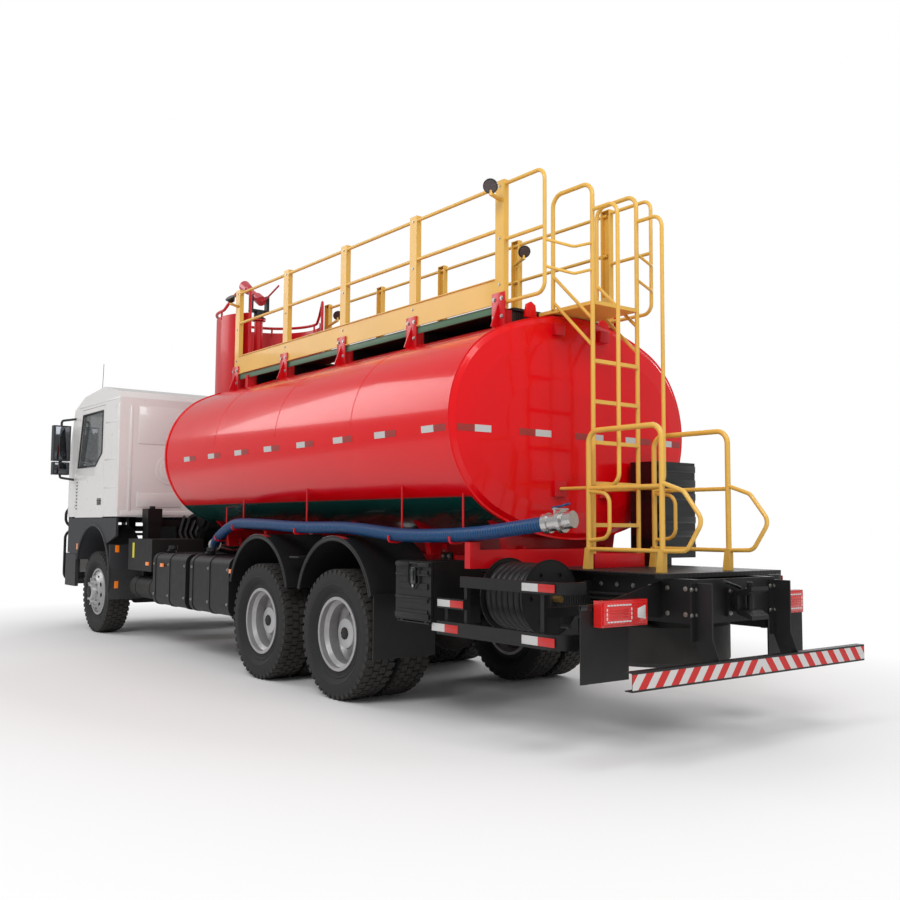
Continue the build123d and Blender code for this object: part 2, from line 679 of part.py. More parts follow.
with BuildPart() as mirrors:
    # Housing on two arms, one at the roof corner and one at the door's front corner
    for side in (1, -1):
        y = side * 1395
        box(AXLE_1 + 900, AXLE_1 + 1010, y - 115, y + 115, 2270, 2760)
        box(AXLE_1 + 905, AXLE_1 + 1005, y - 110, y + 110, 2080, 2255)
        box(AXLE_1 + 940, AXLE_1 + 970, y - 20, y + 20, 2250, 2275)
        tube([(AXLE_1 + 955, y, 2750), (AXLE_1 + 955, y, 2830), (AXLE_1 + 880, side * 1190, 2865)], 16, 35)
        tube([(AXLE_1 + 955, y, 2090), (AXLE_1 + 955, y, 2040), (AXLE_1 + 900, side * 1190, 2010)], 16, 25)
    add(cab_outer, mode=Mode.SUBTRACT)
keep(mirrors, "mirrors")


# Mudguards

def arch(x, z, radius, thick, y0, y1, start, end):
    """Adds a round mudguard over an axle, from start to end degrees."""
    with BuildSketch(Plane(origin=(x, max(y0, y1), z), x_dir=(1, 0, 0), z_dir=(0, -1, 0))) as profile:
        with BuildLine():
            inner = CenterArc((0, 0), radius, start, end - start)
            outer = CenterArc((0, 0), radius + thick, start, end - start)
            Line(inner @ 0, outer @ 0)
            Line(inner @ 1, outer @ 1)
        make_face()
    extrude(profile.sketch, amount=abs(y1 - y0))


FRONT_ARCH_R = 665
FRONT_ARCH_Z = 720

with BuildPart() as front_mudguards:
    for side in (1, -1):
        arch(AXLE_1, FRONT_ARCH_Z, FRONT_ARCH_R, 12, side * 780, side * CAB_HALF_W, 18, 198)
        y0, y1 = sorted((side * (CAB_HALF_W - 30), side * CAB_HALF_W))
        top = DOOR_LOW - MOVE_GAP
        skirt = [(CAB_REAR + 30, top), (CAB_REAR + 30, 1260), (AXLE_1, 1000), (AXLE_1 + 980, 1005),
                 (AXLE_1 + 980, top)]
        with BuildSketch(Plane(origin=(0, y1, 0), x_dir=(1, 0, 0), z_dir=(0, -1, 0))):
            with BuildLine():
                Polyline(*skirt, close=True)
            make_face()
            with Locations((AXLE_1, FRONT_ARCH_Z)):
                Circle(FRONT_ARCH_R + 4, mode=Mode.SUBTRACT)
        extrude(amount=y1 - y0)
        # Boarding steps behind the bumper's corner
        for z in (620, 1005):
            box(AXLE_1 + 700, AXLE_1 + 960, side * 960, side * (CAB_HALF_W - 46), z, z + 30)
        box(AXLE_1 + 930, AXLE_1 + 960, side * 940, side * 970, 600, CAB_FLOOR_Z)
        # Rear flap and the stay to the rail
        x = AXLE_1 - FRONT_ARCH_R + 20
        box(x - 14, x - 2, side * 780, side * CAB_HALF_W, 460, 640)
        rod((AXLE_1 - 480, side * (RAIL_Y - 20), 1000), (AXLE_1 - 480, side * 800, 1190), 18)
        rod((AXLE_1 + 330, side * (RAIL_Y - 20), 1000), (AXLE_1 + 330, side * 800, 1300), 18)
    box(RAIL_REAR, RAIL_FRONT, -RAIL_Y, RAIL_Y, RAIL_TOP - RAIL_H, RAIL_TOP + 40, Mode.SUBTRACT)
keep(front_mudguards, "front_mudguards")

with BuildPart() as rear_mudguards:
    for side in (1, -1):
        for x in (AXLE_2, AXLE_3):
            arch(x, MUDGUARD_Z, MUDGUARD_R - 12, 12, side * 620, side * 1250, 14, 166)
            arch(x, MUDGUARD_Z, MUDGUARD_R - 40, 30, side * 1238, side * 1250, 14, 166)
            rod((x, side * (RAIL_Y - 20), 1000), (x, side * (RAIL_Y + 600), MUDGUARD_Z + MUDGUARD_R - 20), 18)
        # Flaps behind the last wheel and ahead of the rear lamps
        x = AXLE_3 - MUDGUARD_R * cos(radians(14))
        box(x - 10, x, side * 640, side * 1230, 380, 880)
        box(AXLE_3 - 2735, AXLE_3 - 2725, side * 730, side * 1150, 460, 930)
    box(RAIL_REAR, RAIL_FRONT, -RAIL_Y, RAIL_Y, RAIL_TOP - RAIL_H, RAIL_TOP + 40, Mode.SUBTRACT)
keep(rear_mudguards, "rear_mudguards")


# Tanks and boxes on the frame's sides

def rounded_tank(x0, x1, y_in, y_out, z0, z1, radius):
    """Adds a long tank whose section has rounded corners."""
    middle = (x0, (y_in + y_out) / 2, (z0 + z1) / 2)
    with BuildSketch(Plane(origin=middle, x_dir=(0, 1, 0), z_dir=(1, 0, 0))) as profile:
        RectangleRounded(abs(y_out - y_in), z1 - z0, radius)
    extrude(profile.sketch, amount=x1 - x0)


def hanger(x, side, z0, z1):
    """Adds an L bracket from the rail's web to under a side tank."""
    y = side * RAIL_Y
    box(x - 30, x + 30, y, y + side * 70, z0, z1)


FUEL_OUT = 1180

with BuildPart() as fuel_tanks:
    for x0, x1 in ((2080, 3050), (3150, 4100)):
        rounded_tank(AXLE_3 + x0, AXLE_3 + x1, RAIL_Y + 70, FUEL_OUT, 500, 1080, 90)
        for part_way in (0.03, 0.5, 0.94):
            strap = AXLE_3 + x0 + (x1 - x0) * part_way
            rounded_tank(strap - 30, strap + 30, RAIL_Y + 64, FUEL_OUT + 6, 494, 1086, 94)
            hanger(strap, 1, 820, 1060)
        # Filler neck and cap
        rod((AXLE_3 + x1 - 160, FUEL_OUT - 170, 1070), (AXLE_3 + x1 - 160, FUEL_OUT - 140, 1125), 48)
keep(fuel_tanks, "fuel_tanks")

with BuildPart() as silencer:
    # Exhaust box and a small fluid tank on the right side
    rounded_tank(AXLE_3 + 3150, AXLE_3 + 4100, -RAIL_Y - 70, -FUEL_OUT, 500, 1080, 60)
    rounded_tank(AXLE_3 + 2300, AXLE_3 + 3050, -RAIL_Y - 70, -FUEL_OUT + 60, 520, 1060, 90)
    for x in (3300, 3950, 2450, 2900):
        hanger(AXLE_3 + x, -1, 820, 1060)
    rod((AXLE_3 + 3600, -FUEL_OUT + 10, 600), (AXLE_3 + 3600, -FUEL_OUT - 40, 600), 55)
keep(silencer, "silencer")

with BuildPart() as air_reservoirs:
    # Two banded air bottles under the battery box, on each side
    for side in (1, -1):
        for y in (940, 640):
            rod((AXLE_3 + 4330, side * y, 645), (AXLE_3 + 5130, side * y, 645), 135)
            for x in (4480, 4940):
                rod((AXLE_3 + x, side * y, 645), (AXLE_3 + x + 45, side * y, 645), 140)
        for x in (4480, 4940):
            box(AXLE_3 + x, AXLE_3 + x + 45, side * RAIL_Y, side * 980, 775, 850)
            box(AXLE_3 + x, AXLE_3 + x + 45, side * RAIL_Y, side * (RAIL_Y + 40), 775, 1060)
        box(AXLE_3 + 4340, AXLE_3 + 5120, side * (RAIL_Y + 40), side * 1110, 850, 1230)
keep(air_reservoirs, "air_reservoirs")

TOOLBOX_X0, TOOLBOX_X1 = AXLE_3 - 1310, AXLE_3 - 860
TOOLBOX_Z0, TOOLBOX_Z1 = 700, 1150
TOOLBOX_IN, TOOLBOX_OUT = 760, 1190

TOOLBOX_DOOR_Y = TOOLBOX_OUT + 3
TOOLBOX_HINGE = (TOOLBOX_DOOR_Y + 10, TOOLBOX_Z0 + 8)
TOOLBOX_ROD_R = 6

with BuildPart() as toolbox:
    box(TOOLBOX_X0, TOOLBOX_X1, TOOLBOX_IN, TOOLBOX_OUT, TOOLBOX_Z0, TOOLBOX_Z1)
    box(TOOLBOX_X0 + 12, TOOLBOX_X1 - 12, TOOLBOX_IN + 12, TOOLBOX_OUT + 1, TOOLBOX_Z0 + 12, TOOLBOX_Z1 - 12,
        Mode.SUBTRACT)
    for x in (TOOLBOX_X0 + 60, TOOLBOX_X1 - 120):
        box(x, x + 60, RAIL_Y, TOOLBOX_IN, 850, 1050)
    for x in (TOOLBOX_X0 + 30, TOOLBOX_X1 - 42):
        box(x, x + 12, TOOLBOX_OUT, TOOLBOX_DOOR_Y + 18, TOOLBOX_Z0, TOOLBOX_Z0 + 16)
        rod((x - 1, *TOOLBOX_HINGE), (x + 13, *TOOLBOX_HINGE), TOOLBOX_ROD_R + SHAFT_GAP, Mode.SUBTRACT)
keep(toolbox, "toolbox")

with BuildPart() as toolbox_door:
    # Ribbed drop-down door, two arms and the hinge rod
    y0 = TOOLBOX_DOOR_Y
    box(TOOLBOX_X0 + 4, TOOLBOX_X1 - 4, y0, y0 + 20, TOOLBOX_Z0 + 22, TOOLBOX_Z1 - 4)
    for rib in range(4):
        z = TOOLBOX_Z0 + 60 + 95 * rib
        box(TOOLBOX_X0 + 40, TOOLBOX_X1 - 40, y0 + 20, y0 + 28, z, z + 40)
    for x in (TOOLBOX_X0 + 60, TOOLBOX_X1 - 90):
        box(x, x + 30, y0 + 4, y0 + 16, TOOLBOX_Z0 + 8, TOOLBOX_Z0 + 22)
    rod((TOOLBOX_X0 + 25, *TOOLBOX_HINGE), (TOOLBOX_X1 - 25, *TOOLBOX_HINGE), TOOLBOX_ROD_R)
keep(toolbox_door, "toolbox_door")


# Side guards and rear gear

GUARD_Y = 1190
GUARD_REAR = AXLE_3 - 2450
GUARD_BAR_T = 30


def guard_bar(side, x0, z0, z1):
    """Adds one flat guard tube that bends inwards at its rear end."""
    half, radius = GUARD_BAR_T / 2, 110
    bend_x, y = GUARD_REAR - 130, side * (GUARD_Y - half)
    with BuildSketch(Plane.XY.offset(z0)) as profile:
        with BuildLine():
            for away in (half, -half):
                line_y, line_x = y + side * away, bend_x - away
                edge = FilletPolyline((x0, line_y), (line_x, line_y), (line_x, side * 960), radius=radius + away)
                if away > 0:
                    outer = edge
            Line(outer @ 0, edge @ 0)
            Line(outer @ 1, edge @ 1)
        make_face()
    extrude(profile.sketch, amount=z1 - z0)


with BuildPart() as side_guards:
    for side in (1, -1):
        guard_bar(side, TOOLBOX_X0 - 35, 645, 740)
        guard_bar(side, TOOLBOX_X0 - 300, 985, 1060)
        y0, y1 = sorted((side * (GUARD_Y - 30), side * GUARD_Y))
        box(TOOLBOX_X0 - 340, TOOLBOX_X0 - 35, y0, y1, 830, 900)
        for x, top in ((TOOLBOX_X0 - 90, 900), (GUARD_REAR + 60, 1060)):
            box(x - 35, x, side * (GUARD_Y - 60), side * (GUARD_Y - 30), 645, top)
            box(x - 35, x, side * RAIL_Y, side * (GUARD_Y - 30), 835, 895)
        box(TOOLBOX_X0 - 340, TOOLBOX_X0 - 310, side * (GUARD_Y - 60), side * (GUARD_Y - 30), 645, 1060)
keep(side_guards, "side_guards")

with BuildPart() as tail_lamps:
    for side in (1, -1):
        y0, y1 = sorted((side * 640, side * 1050))
        box(AXLE_3 - 2810, AXLE_3 - 2745, y0, y1, 800, 960)
keep(tail_lamps, "tail_lamps")

with BuildPart() as underride_bumper:
    # C section with its lips forwards, hung from the frame's end on two arms
    x0 = REAR_END
    section = [(x0, BUMPER_Z), (x0, BUMPER_Z + BUMPER_H), (x0 + 60, BUMPER_Z + BUMPER_H),
               (x0 + 60, BUMPER_Z + BUMPER_H - 6), (x0 + 6, BUMPER_Z + BUMPER_H - 6), (x0 + 6, BUMPER_Z + 6),
               (x0 + 60, BUMPER_Z + 6), (x0 + 60, BUMPER_Z)]
    plate_xz(section, -BUMPER_HALF_W, BUMPER_HALF_W)
    for side in (1, -1):
        y = side * (RAIL_Y - 20)
        arm = [(x0 + 6, BUMPER_Z + 8), (x0 + 6, BUMPER_Z + BUMPER_H - 8), (x0 + 60, 720), (x0 + 60, 1060),
               (RAIL_REAR, 1060), (RAIL_REAR, 700), (x0 + 100, BUMPER_Z + 8)]
        plate_xz(arm, y - 6, y + 6)
        box(RAIL_REAR - 12, RAIL_REAR, y - 50, y + 50, 700, 1060)
keep(underride_bumper, "underride_bumper")

TOW_Z = 930
TOW_PIN_R = 20

with BuildPart() as tow_coupling:
    # Flanged body, flared jaw and an upright pin across the mouth
    box(RAIL_REAR - 20, RAIL_REAR, -110, 110, TOW_Z - 90, TOW_Z + 90)
    rod((RAIL_REAR - 70, 0, TOW_Z), (RAIL_REAR - 20, 0, TOW_Z), 70)
    mouth = [(RAIL_REAR - 70, TOW_Z - 70), (RAIL_REAR - 70, TOW_Z + 70), (REAR_END + 5, TOW_Z + 105),
             (REAR_END + 5, TOW_Z - 105)]
    plate_xz(mouth, -90, 90)
    gap = [(RAIL_REAR - 80, TOW_Z - 48), (RAIL_REAR - 80, TOW_Z + 48), (RAIL_REAR - 130, TOW_Z + 48),
           (REAR_END - 5, TOW_Z + 85), (REAR_END - 5, TOW_Z - 85), (RAIL_REAR - 130, TOW_Z - 48)]
    plate_xz(gap, -100, 100, Mode.SUBTRACT)
    rod((RAIL_REAR - 110, 0, TOW_Z - 85), (RAIL_REAR - 110, 0, TOW_Z + 130), TOW_PIN_R)
keep(tow_coupling, "tow_coupling")

SPARE_X = AXLE_3 - 2300
SPARE_Z = 488

with BuildPart() as spare_wheel:
    # Tyre lying flat under the frame, with its rim and the carrier bar
    half, bead = TYRE_W / 2, RIM_W / 2 - RIM_LIP
    with BuildSketch(Plane(origin=(SPARE_X, 0, SPARE_Z + half), x_dir=(1, 0, 0), z_dir=(0, -1, 0))):
        with BuildLine():
            Polyline((340, -bead), (BEAD_R, -bead), (BEAD_R, bead), (340, bead))
            ThreePointArc((340, bead), (400, half), (495, half - 12))
            Polyline((495, half - 12), (TYRE_R, half - 32), (TYRE_R, 32 - half), (495, 12 - half))
            ThreePointArc((495, 12 - half), (400, -half), (340, -bead))
        make_face()
    revolve(axis=Axis((SPARE_X, 0, 0), (0, 0, 1)))
    with BuildSketch(Plane.XY.offset(SPARE_Z + 30)):
        with Locations((SPARE_X, 0)):
            Circle(BEAD_R)
            Circle(100, mode=Mode.SUBTRACT)
    extrude(amount=14)
    bar_z = RAIL_TOP - RAIL_H + RAIL_T
    rod((SPARE_X, 0, SPARE_Z + 44), (SPARE_X, 0, bar_z), 22)
    box(SPARE_X - 30, SPARE_X + 30, -120, 120, SPARE_Z + 44, SPARE_Z + 60)
    box(SPARE_X - 40, SPARE_X + 40, -RAIL_Y + RAIL_T, RAIL_Y - RAIL_T, bar_z, bar_z + 50)
keep(spare_wheel, "spare_wheel")


# Water tank

def oval(inset):
    """Draws the tank's four-arc oval in the open sketch, moved inwards by inset."""
    side_r = TANK_SIDE_R - inset
    side_c = TANK_HALF_W - TANK_SIDE_R
    rise = TANK_HALF_H - TANK_SIDE_R
    crown_r = (side_c ** 2 + TANK_HALF_H ** 2 - TANK_SIDE_R ** 2) / (2 * rise)
    crown_c = TANK_HALF_H - crown_r
    lean = atan2(side_c, -crown_c)
    touch = ((crown_r - inset) * sin(lean), crown_c + (crown_r - inset) * cos(lean))
    half_w, half_h = side_c + side_r, TANK_HALF_H - inset
    with BuildLine() as ring:
        ThreePointArc((-touch[0], touch[1]), (0, half_h), touch)
        ThreePointArc(touch, (half_w, 0), (touch[0], -touch[1]))
        ThreePointArc((touch[0], -touch[1]), (0, -half_h), (-touch[0], -touch[1]))
        ThreePointArc((-touch[0], -touch[1]), (-half_w, 0), (-touch[0], touch[1]))
    make_face(ring.edges())


def tank_plane(x):
    """The plane across the tank at x, with its own X to the left and Y up."""
    return Plane(origin=(x, 0, TANK_Z), x_dir=(0, 1, 0), z_dir=(1, 0, 0))


def tank_body(grow=0):
    """The tank's shell as a private solid, with its rolled rims and two dished heads."""
    with BuildPart() as body:
        with BuildSketch(tank_plane(TANK_REAR)):
            oval(-grow)
        extrude(amount=TANK_LENGTH)
        for x in (TANK_REAR, TANK_FRONT - TANK_RIM_W):
            with BuildSketch(tank_plane(x)):
                oval(-TANK_RIM_H - grow)
            extrude(amount=TANK_RIM_W)
        for x, way in ((TANK_REAR, -1), (TANK_FRONT, 1)):
            for inset, depth in ((6, 0), (40, 22), (200, 45), (480, TANK_DISH)):
                with BuildSketch(tank_plane(x + way * depth)):
                    oval(inset)
            loft(ruled=True)
    return body.part


def scribe_to_tank(tank_skin):
    """Cuts the open part to the tank's outside."""
    add(tank_skin, mode=Mode.SUBTRACT)


MANHOLE_X = TANK_FRONT - 2150
MANHOLE_R = 250
MANHOLE_TOP = TANK_TOP + 115

LID_HINGE = (MANHOLE_X - MANHOLE_R - 40, MANHOLE_TOP + 9)
LID_ROD_R = 12
tank_skin = tank_body(RUN_GAP)

with BuildPart() as tank:
    add(tank_body())
    # Manhole neck with its blind well
    rod((MANHOLE_X, 0, TANK_TOP - 20), (MANHOLE_X, 0, MANHOLE_TOP), MANHOLE_R)
    rod((MANHOLE_X, 0, TANK_TOP - 200), (MANHOLE_X, 0, MANHOLE_TOP + 5), MANHOLE_R - 14, Mode.SUBTRACT)
    for y in (-76, 64):
        # Lugs of the lid's hinge
        x, z = LID_HINGE
        box(x - 14, x + 14, y, y + 12, z - 45, z + 14)
        box(x - 14, x + 56, y, y + 12, z - 45, z - 13)
        rod((x, y - 1, z), (x, y + 13, z), LID_ROD_R + SHAFT_GAP, Mode.SUBTRACT)
keep(tank, "tank")

with BuildPart() as manhole_lid:
    rod((MANHOLE_X, 0, MANHOLE_TOP + 1), (MANHOLE_X, 0, MANHOLE_TOP + 17), MANHOLE_R + 12)
    rod((MANHOLE_X, 0, MANHOLE_TOP + 17), (MANHOLE_X, 0, MANHOLE_TOP + 30), 90)
    rod((LID_HINGE[0], -78, LID_HINGE[1]), (LID_HINGE[0], 78, LID_HINGE[1]), LID_ROD_R)
    for y in (-60, 30):
        box(LID_HINGE[0], LID_HINGE[0] + 60, y, y + 30, MANHOLE_TOP + 1, MANHOLE_TOP + 17)
keep(manhole_lid, "manhole_lid")

with BuildPart() as walkway:
    # Tread plates on cross bearers scribed to the tank's crown
    x0, x1 = POST_X0 - 50, BASKET_X - BASKET_R - 30
    box(x0, x1, -500, 500, WALK_Z - 20, WALK_Z)
    for k in range(POSTS):
        x = POST_X0 + k * POST_PITCH
        x = min(x, x1 - 30)
        box(x - 30, x + 30, -RAILING_Y - 30, RAILING_Y + 30, TANK_TOP - 120, WALK_Z - 20)
    scribe_to_tank(tank_skin)
    box(MANHOLE_X - MANHOLE_R - 110, MANHOLE_X + MANHOLE_R + 60, -MANHOLE_R - 50, MANHOLE_R + 50,
        TANK_TOP - 150, WALK_Z + 5, Mode.SUBTRACT)
keep(walkway, "walkway")


def railing(side):
    """Adds one side railing: folded posts, two rails and a toe board."""
    y = side * RAILING_Y
    for k in range(POSTS):
        x = POST_X0 + k * POST_PITCH
        box(x - POST_W / 2, x + POST_W / 2, y - POST_D / 2, y + POST_D / 2, WALK_Z - 20, RAILING_TOP)
        # Hollow side of the folded post faces the walkway
        box(x - POST_W / 2 + 6, x + POST_W / 2 - 6, y - side * POST_D / 2, y + side * (POST_D / 2 - 6),
            WALK_Z + 240, RAILING_TOP - 6, Mode.SUBTRACT)
    x0, x1 = POST_X0, POST_X0 + (POSTS - 1) * POST_PITCH
    for z in (RAILING_TOP - 40, (WALK_Z + 220 + RAILING_TOP) / 2):
        rod((x0, y + side * 8, z), (x1, y + side * 8, z), TUBE_R - 2)
    box(x0, x1, y + side * 19, y + side * 25, WALK_Z + 20, WALK_Z + 220)


with BuildPart() as railings:
    railing(1)
    railing(-1)
keep(railings, "railings")

with BuildPart() as basket:
    # Round sheet wall, open to the rear, scribed to the tank, with its floor
    with BuildSketch(Plane.XY.offset(TANK_TOP - 110)):
        with Locations((BASKET_X, 0)):
            Circle(BASKET_R)
            Circle(BASKET_R - 8, mode=Mode.SUBTRACT)
    extrude(amount=BASKET_TOP - TANK_TOP + 110)
    box(BASKET_X - BASKET_R - 20, BASKET_X, -450, 450, TANK_TOP - 150, BASKET_TOP + 20, Mode.SUBTRACT)
    rod((BASKET_X, 0, TANK_TOP + 1), (BASKET_X, 0, TANK_TOP + 9), BASKET_R - 4)
    # Hand rail on top, higher at its two rear ends
    top, turn = BASKET_TOP + 60, 100
    for side in (1, -1):
        start = (BASKET_X + BASKET_R * cos(radians(turn)), side * BASKET_R * sin(radians(turn)), top)
        leg_x, leg_y = BASKET_X - sqrt(BASKET_R ** 2 - 450 ** 2) - 20, side * 470
        tube([start, (leg_x, leg_y, top + 190), (leg_x, leg_y, TANK_TOP - 110)], TUBE_R, 50)
    with BuildSketch(Plane(origin=(BASKET_X, 0, top), x_dir=(1, 0, 0), z_dir=(0, -1, 0))):
        with Locations((BASKET_R, 0)):
            Circle(TUBE_R)
    revolve(axis=Axis((BASKET_X, 0, 0), (0, 0, 1)), revolution_arc=turn)
    with BuildSketch(Plane(origin=(BASKET_X, 0, top), x_dir=(1, 0, 0), z_dir=(0, -1, 0))):
        with Locations((BASKET_R, 0)):
            Circle(TUBE_R)
    revolve(axis=Axis((BASKET_X, 0, 0), (0, 0, 1)), revolution_arc=-turn)
    for k in (-90, -30, 30, 90):
        x, y = BASKET_X + (BASKET_R - 4) * cos(radians(k)), (BASKET_R - 4) * sin(radians(k))
        rod((x, y, BASKET_TOP - 40), (x, y, top), 12)
    # Stand of the water cannon
    rod((CANNON_X, 0, TANK_TOP + 9), (CANNON_X, 0, TANK_TOP + 25), 130)
    rod((CANNON_X, 0, TANK_TOP + 25), (CANNON_X, 0, CANNON_Z - 260), 52)
    rod((CANNON_X, 0, CANNON_Z - 275), (CANNON_X, 0, CANNON_Z - 260), 85)
    scribe_to_tank(tank_skin)
keep(basket, "cannon_basket")

with BuildPart() as cannon_base:
    # Swivel with its two side arms, which turns on the stand's flange
    z = CANNON_Z - 260 + RUN_GAP
    rod((CANNON_X, 0, z), (CANNON_X, 0, z + 20), 85)
    rod((CANNON_X, 0, z + 20), (CANNON_X, 0, CANNON_Z - 150), 60)
    box(CANNON_X - 45, CANNON_X + 45, -120, 120, CANNON_Z - 170, CANNON_Z - 140)
    for side in (1, -1):
        y0, y1 = sorted((side * 92, side * 120))
        box(CANNON_X - 40, CANNON_X + 40, y0, y1, CANNON_Z - 170, CANNON_Z + 45)
        rod((CANNON_X, y0 - 1, CANNON_Z), (CANNON_X, y1 + 1, CANNON_Z), 20 + SHAFT_GAP, Mode.SUBTRACT)
keep(cannon_base, "cannon_base")

CANNON_TILT = 30
CANNON_REACH = 480

with BuildPart() as cannon_barrel:
    # Barrel on its trunnions, flared nozzle, and the tiller bar at the rear
    aim = Vector(cos(radians(CANNON_TILT)), 0, sin(radians(CANNON_TILT)))
    pivot = Vector(CANNON_X, 0, CANNON_Z)
    with BuildSketch(Plane(origin=pivot, x_dir=aim, z_dir=(0, -1, 0))):
        with BuildLine():
            Polyline((-75, 0), (-75, 62), (60, 62), (90, 44), (300, 38), (330, 60), (CANNON_REACH, 72),
                     (CANNON_REACH, 0), close=True)
        make_face()
    revolve(axis=Axis(pivot, aim))
    rod(tuple(pivot + aim * (CANNON_REACH - 90)), tuple(pivot + aim * (CANNON_REACH + 5)), 56, Mode.SUBTRACT)
    rod((CANNON_X, -119, CANNON_Z), (CANNON_X, 119, CANNON_Z), 20)
    tube([tuple(pivot - aim * 60), tuple(pivot - aim * 120), (CANNON_X - 510, 0, CANNON_Z + 70)], 11, 60)
keep(cannon_barrel, "cannon_barrel")


# Ladder and rear handrails

def serrated_rung(x, z, half):
    """Adds a flat rung with a toothed front and rear edge."""
    teeth = 12
    step = 2 * half / teeth
    points = [(x - 16, -half), (x + 16, -half)]
    for k in range(teeth):
        points += [(x + 20, -half + (k + 0.5) * step), (x + 16, -half + (k + 1) * step)]
    points.append((x - 16, half))
    with BuildSketch(Plane.XY.offset(z - 14)) as profile:
        with BuildLine():
            Polyline(*points, close=True)
        make_face()
    extrude(profile.sketch, amount=28)


with BuildPart() as ladder:
    grab_x = LADDER_X - 250
    for side in (1, -1):
        y = side * LADDER_HALF_W
        # Main rail rises past the landing and loops forwards as a grab hoop
        tube([(LADDER_X, y, DECK_Z + RUN_GAP), (LADDER_X, y, LADDER_TOP), (LADDER_X + 420, y, LADDER_TOP),
              (LADDER_X + 420, y, WALK_Z - 12)], TUBE_R, 95)
        # Outer grab rail behind it, arched into the main rail at both ends
        high = LADDER_TOP - 210
        tube([(LADDER_X, y, 1700), (grab_x, y, 1700), (grab_x, y, high), (LADDER_X, y, high)], TUBE_R - 2, 90)
        # Stay to the tank's head, and two sloping bars beside the landing
        tube([(LADDER_X, y, 1690), (TANK_REAR + 20, y, 1690)], 13)
        for z in (2930, 2730):
            tube([(LADDER_X + 420, y, z + 400), (LADDER_X, y, z)], 13)
        # Arched guard between the railing's last post and the ladder
        post, back, out = POST_X0 - POST_W / 2, LADDER_X + 150, side * RAILING_Y
        tube([(post, out, RAILING_TOP - 30), (back, out, RAILING_TOP - 30), (back, out, WALK_Z + 30),
              (post, out, WALK_Z + 30)], TUBE_R - 2, 80)
        tube([(post, out, 3600), (back, out, 3600)], TUBE_R - 3)
        for z in (3500, 3300):
            tube([(back, out, z), (LADDER_X + 10, side * 420, z - 60), (LADDER_X, y, z)], 11, 60)
    for k in range(RUNGS):
        serrated_rung(LADDER_X, 1420 + k * RUNG_PITCH, LADDER_HALF_W)
    # Landing between the ladder and the walkway
    box(LADDER_X - 10, POST_X0 - POST_W / 2, -LADDER_HALF_W, LADDER_HALF_W, WALK_Z - 38, WALK_Z - 10)
    scribe_to_tank(tank_skin)
keep(ladder, "ladder")

with BuildPart() as deck_rails:
    # Low railing each side of the ladder's foot, with rounded loops to the rear
    for side in (1, -1):
        y = side * SIDE_RAIL_Y
        front, rear = LADDER_X - 60, SIDE_RAIL_REAR
        foot = DECK_Z + 60
        tube([(front, y, foot), (front, y, 2090), (rear, y, 2090), (rear, y, foot)], TUBE_R + 2, 90)
        for x in (front, rear):
            z0, z1 = DECK_Z + RUN_GAP, DECK_Z + 150
            gusset = [(x - 20, z0), (x + 40, z0), (x + 20, z1), (x - 20, z1)]
            plate_xz(gusset, y - 22, y + 22)
        for z in (1680, 1250):
            tube([(front, y, z), (rear, y, z)], TUBE_R - 2)
        big_loop = [(0, 1700), (-180, 1640), (-330, 1450), (-200, 1255), (0, 1250)]
        tube([(rear + dx, y, z) for dx, z in big_loop], TUBE_R - 2, 75)
        small_loop = [(0, 1660), (-200, 1640), (-200, 1330), (0, 1310)]
        tube([(front + dx, y, z) for dx, z in small_loop], TUBE_R - 3, 80)
keep(deck_rails, "deck_rails")

with BuildPart() as rear_deck:
    # Tread plate behind the tank, its edge beams and the blank panel across the saddle
    deck_left, deck_right = 520, -760
    box(DECK_REAR, TANK_REAR - 30, deck_right, deck_left, DECK_Z - 8, DECK_Z)
    box(DECK_REAR, DECK_REAR + 50, deck_right, deck_left, RAIL_TOP, DECK_Z - 8)
    box(TANK_REAR - 90, TANK_REAR - 30, deck_right, deck_left, RAIL_TOP, DECK_Z - 8)
    for y in (-RAIL_Y, RAIL_Y - 60):
        box(DECK_REAR, TANK_REAR - 30, y, y + 60, RAIL_TOP, DECK_Z - 8)
    # Stand of the hose reel, beside the left rail
    for x in (REEL_X - REEL_LENGTH / 2 - 45, REEL_X + REEL_LENGTH / 2 + 20):
        arm = [(RAIL_Y, 1050), (RAIL_Y, 830), (REEL_Y + 45, REEL_Z - 60), (REEL_Y + 45, REEL_Z + 45),
               (REEL_Y - 45, REEL_Z + 60)]
        plate_yz(arm, x, x + 25)
        rod((x - 1, REEL_Y, REEL_Z), (x + 26, REEL_Y, REEL_Z), 22 + SHAFT_GAP, Mode.SUBTRACT)
keep(rear_deck, "rear_deck")

CASE_X0, CASE_X1 = TANK_REAR - 380, TANK_REAR - 100
CASE_Y0, CASE_Y1 = -960, -500
CASE_Z0, CASE_Z1 = DECK_Z + 60, DECK_Z + 810

CASE_HINGE = (CASE_X0 + 58, CASE_Y0 - 9)
CASE_PIN_R = 5

with BuildPart() as extinguisher_case:
    box(CASE_X0 + 60, CASE_X1, CASE_Y0, CASE_Y1, CASE_Z0, CASE_Z1)
    box(CASE_X0 + 59, CASE_X1 - 12, CASE_Y0 + 12, CASE_Y1 - 12, CASE_Z0 + 12, CASE_Z1 - 12, Mode.SUBTRACT)
    # Foot on the deck, and the lugs and pin of each hinge
    box(CASE_X0 + 80, CASE_X1 - 20, -750, CASE_Y1 - 20, DECK_Z, CASE_Z0)
    for z in (CASE_Z0 + 120, CASE_Z1 - 120):
        for low in (z - 40, z + 21):
            rod((*CASE_HINGE, low), (*CASE_HINGE, low + 19), 9)
            box(CASE_HINGE[0], CASE_HINGE[0] + 40, CASE_HINGE[1], CASE_Y0, low, low + 19)
        rod((*CASE_HINGE, z - 40), (*CASE_HINGE, z + 40), CASE_PIN_R)
keep(extinguisher_case, "extinguisher_case")

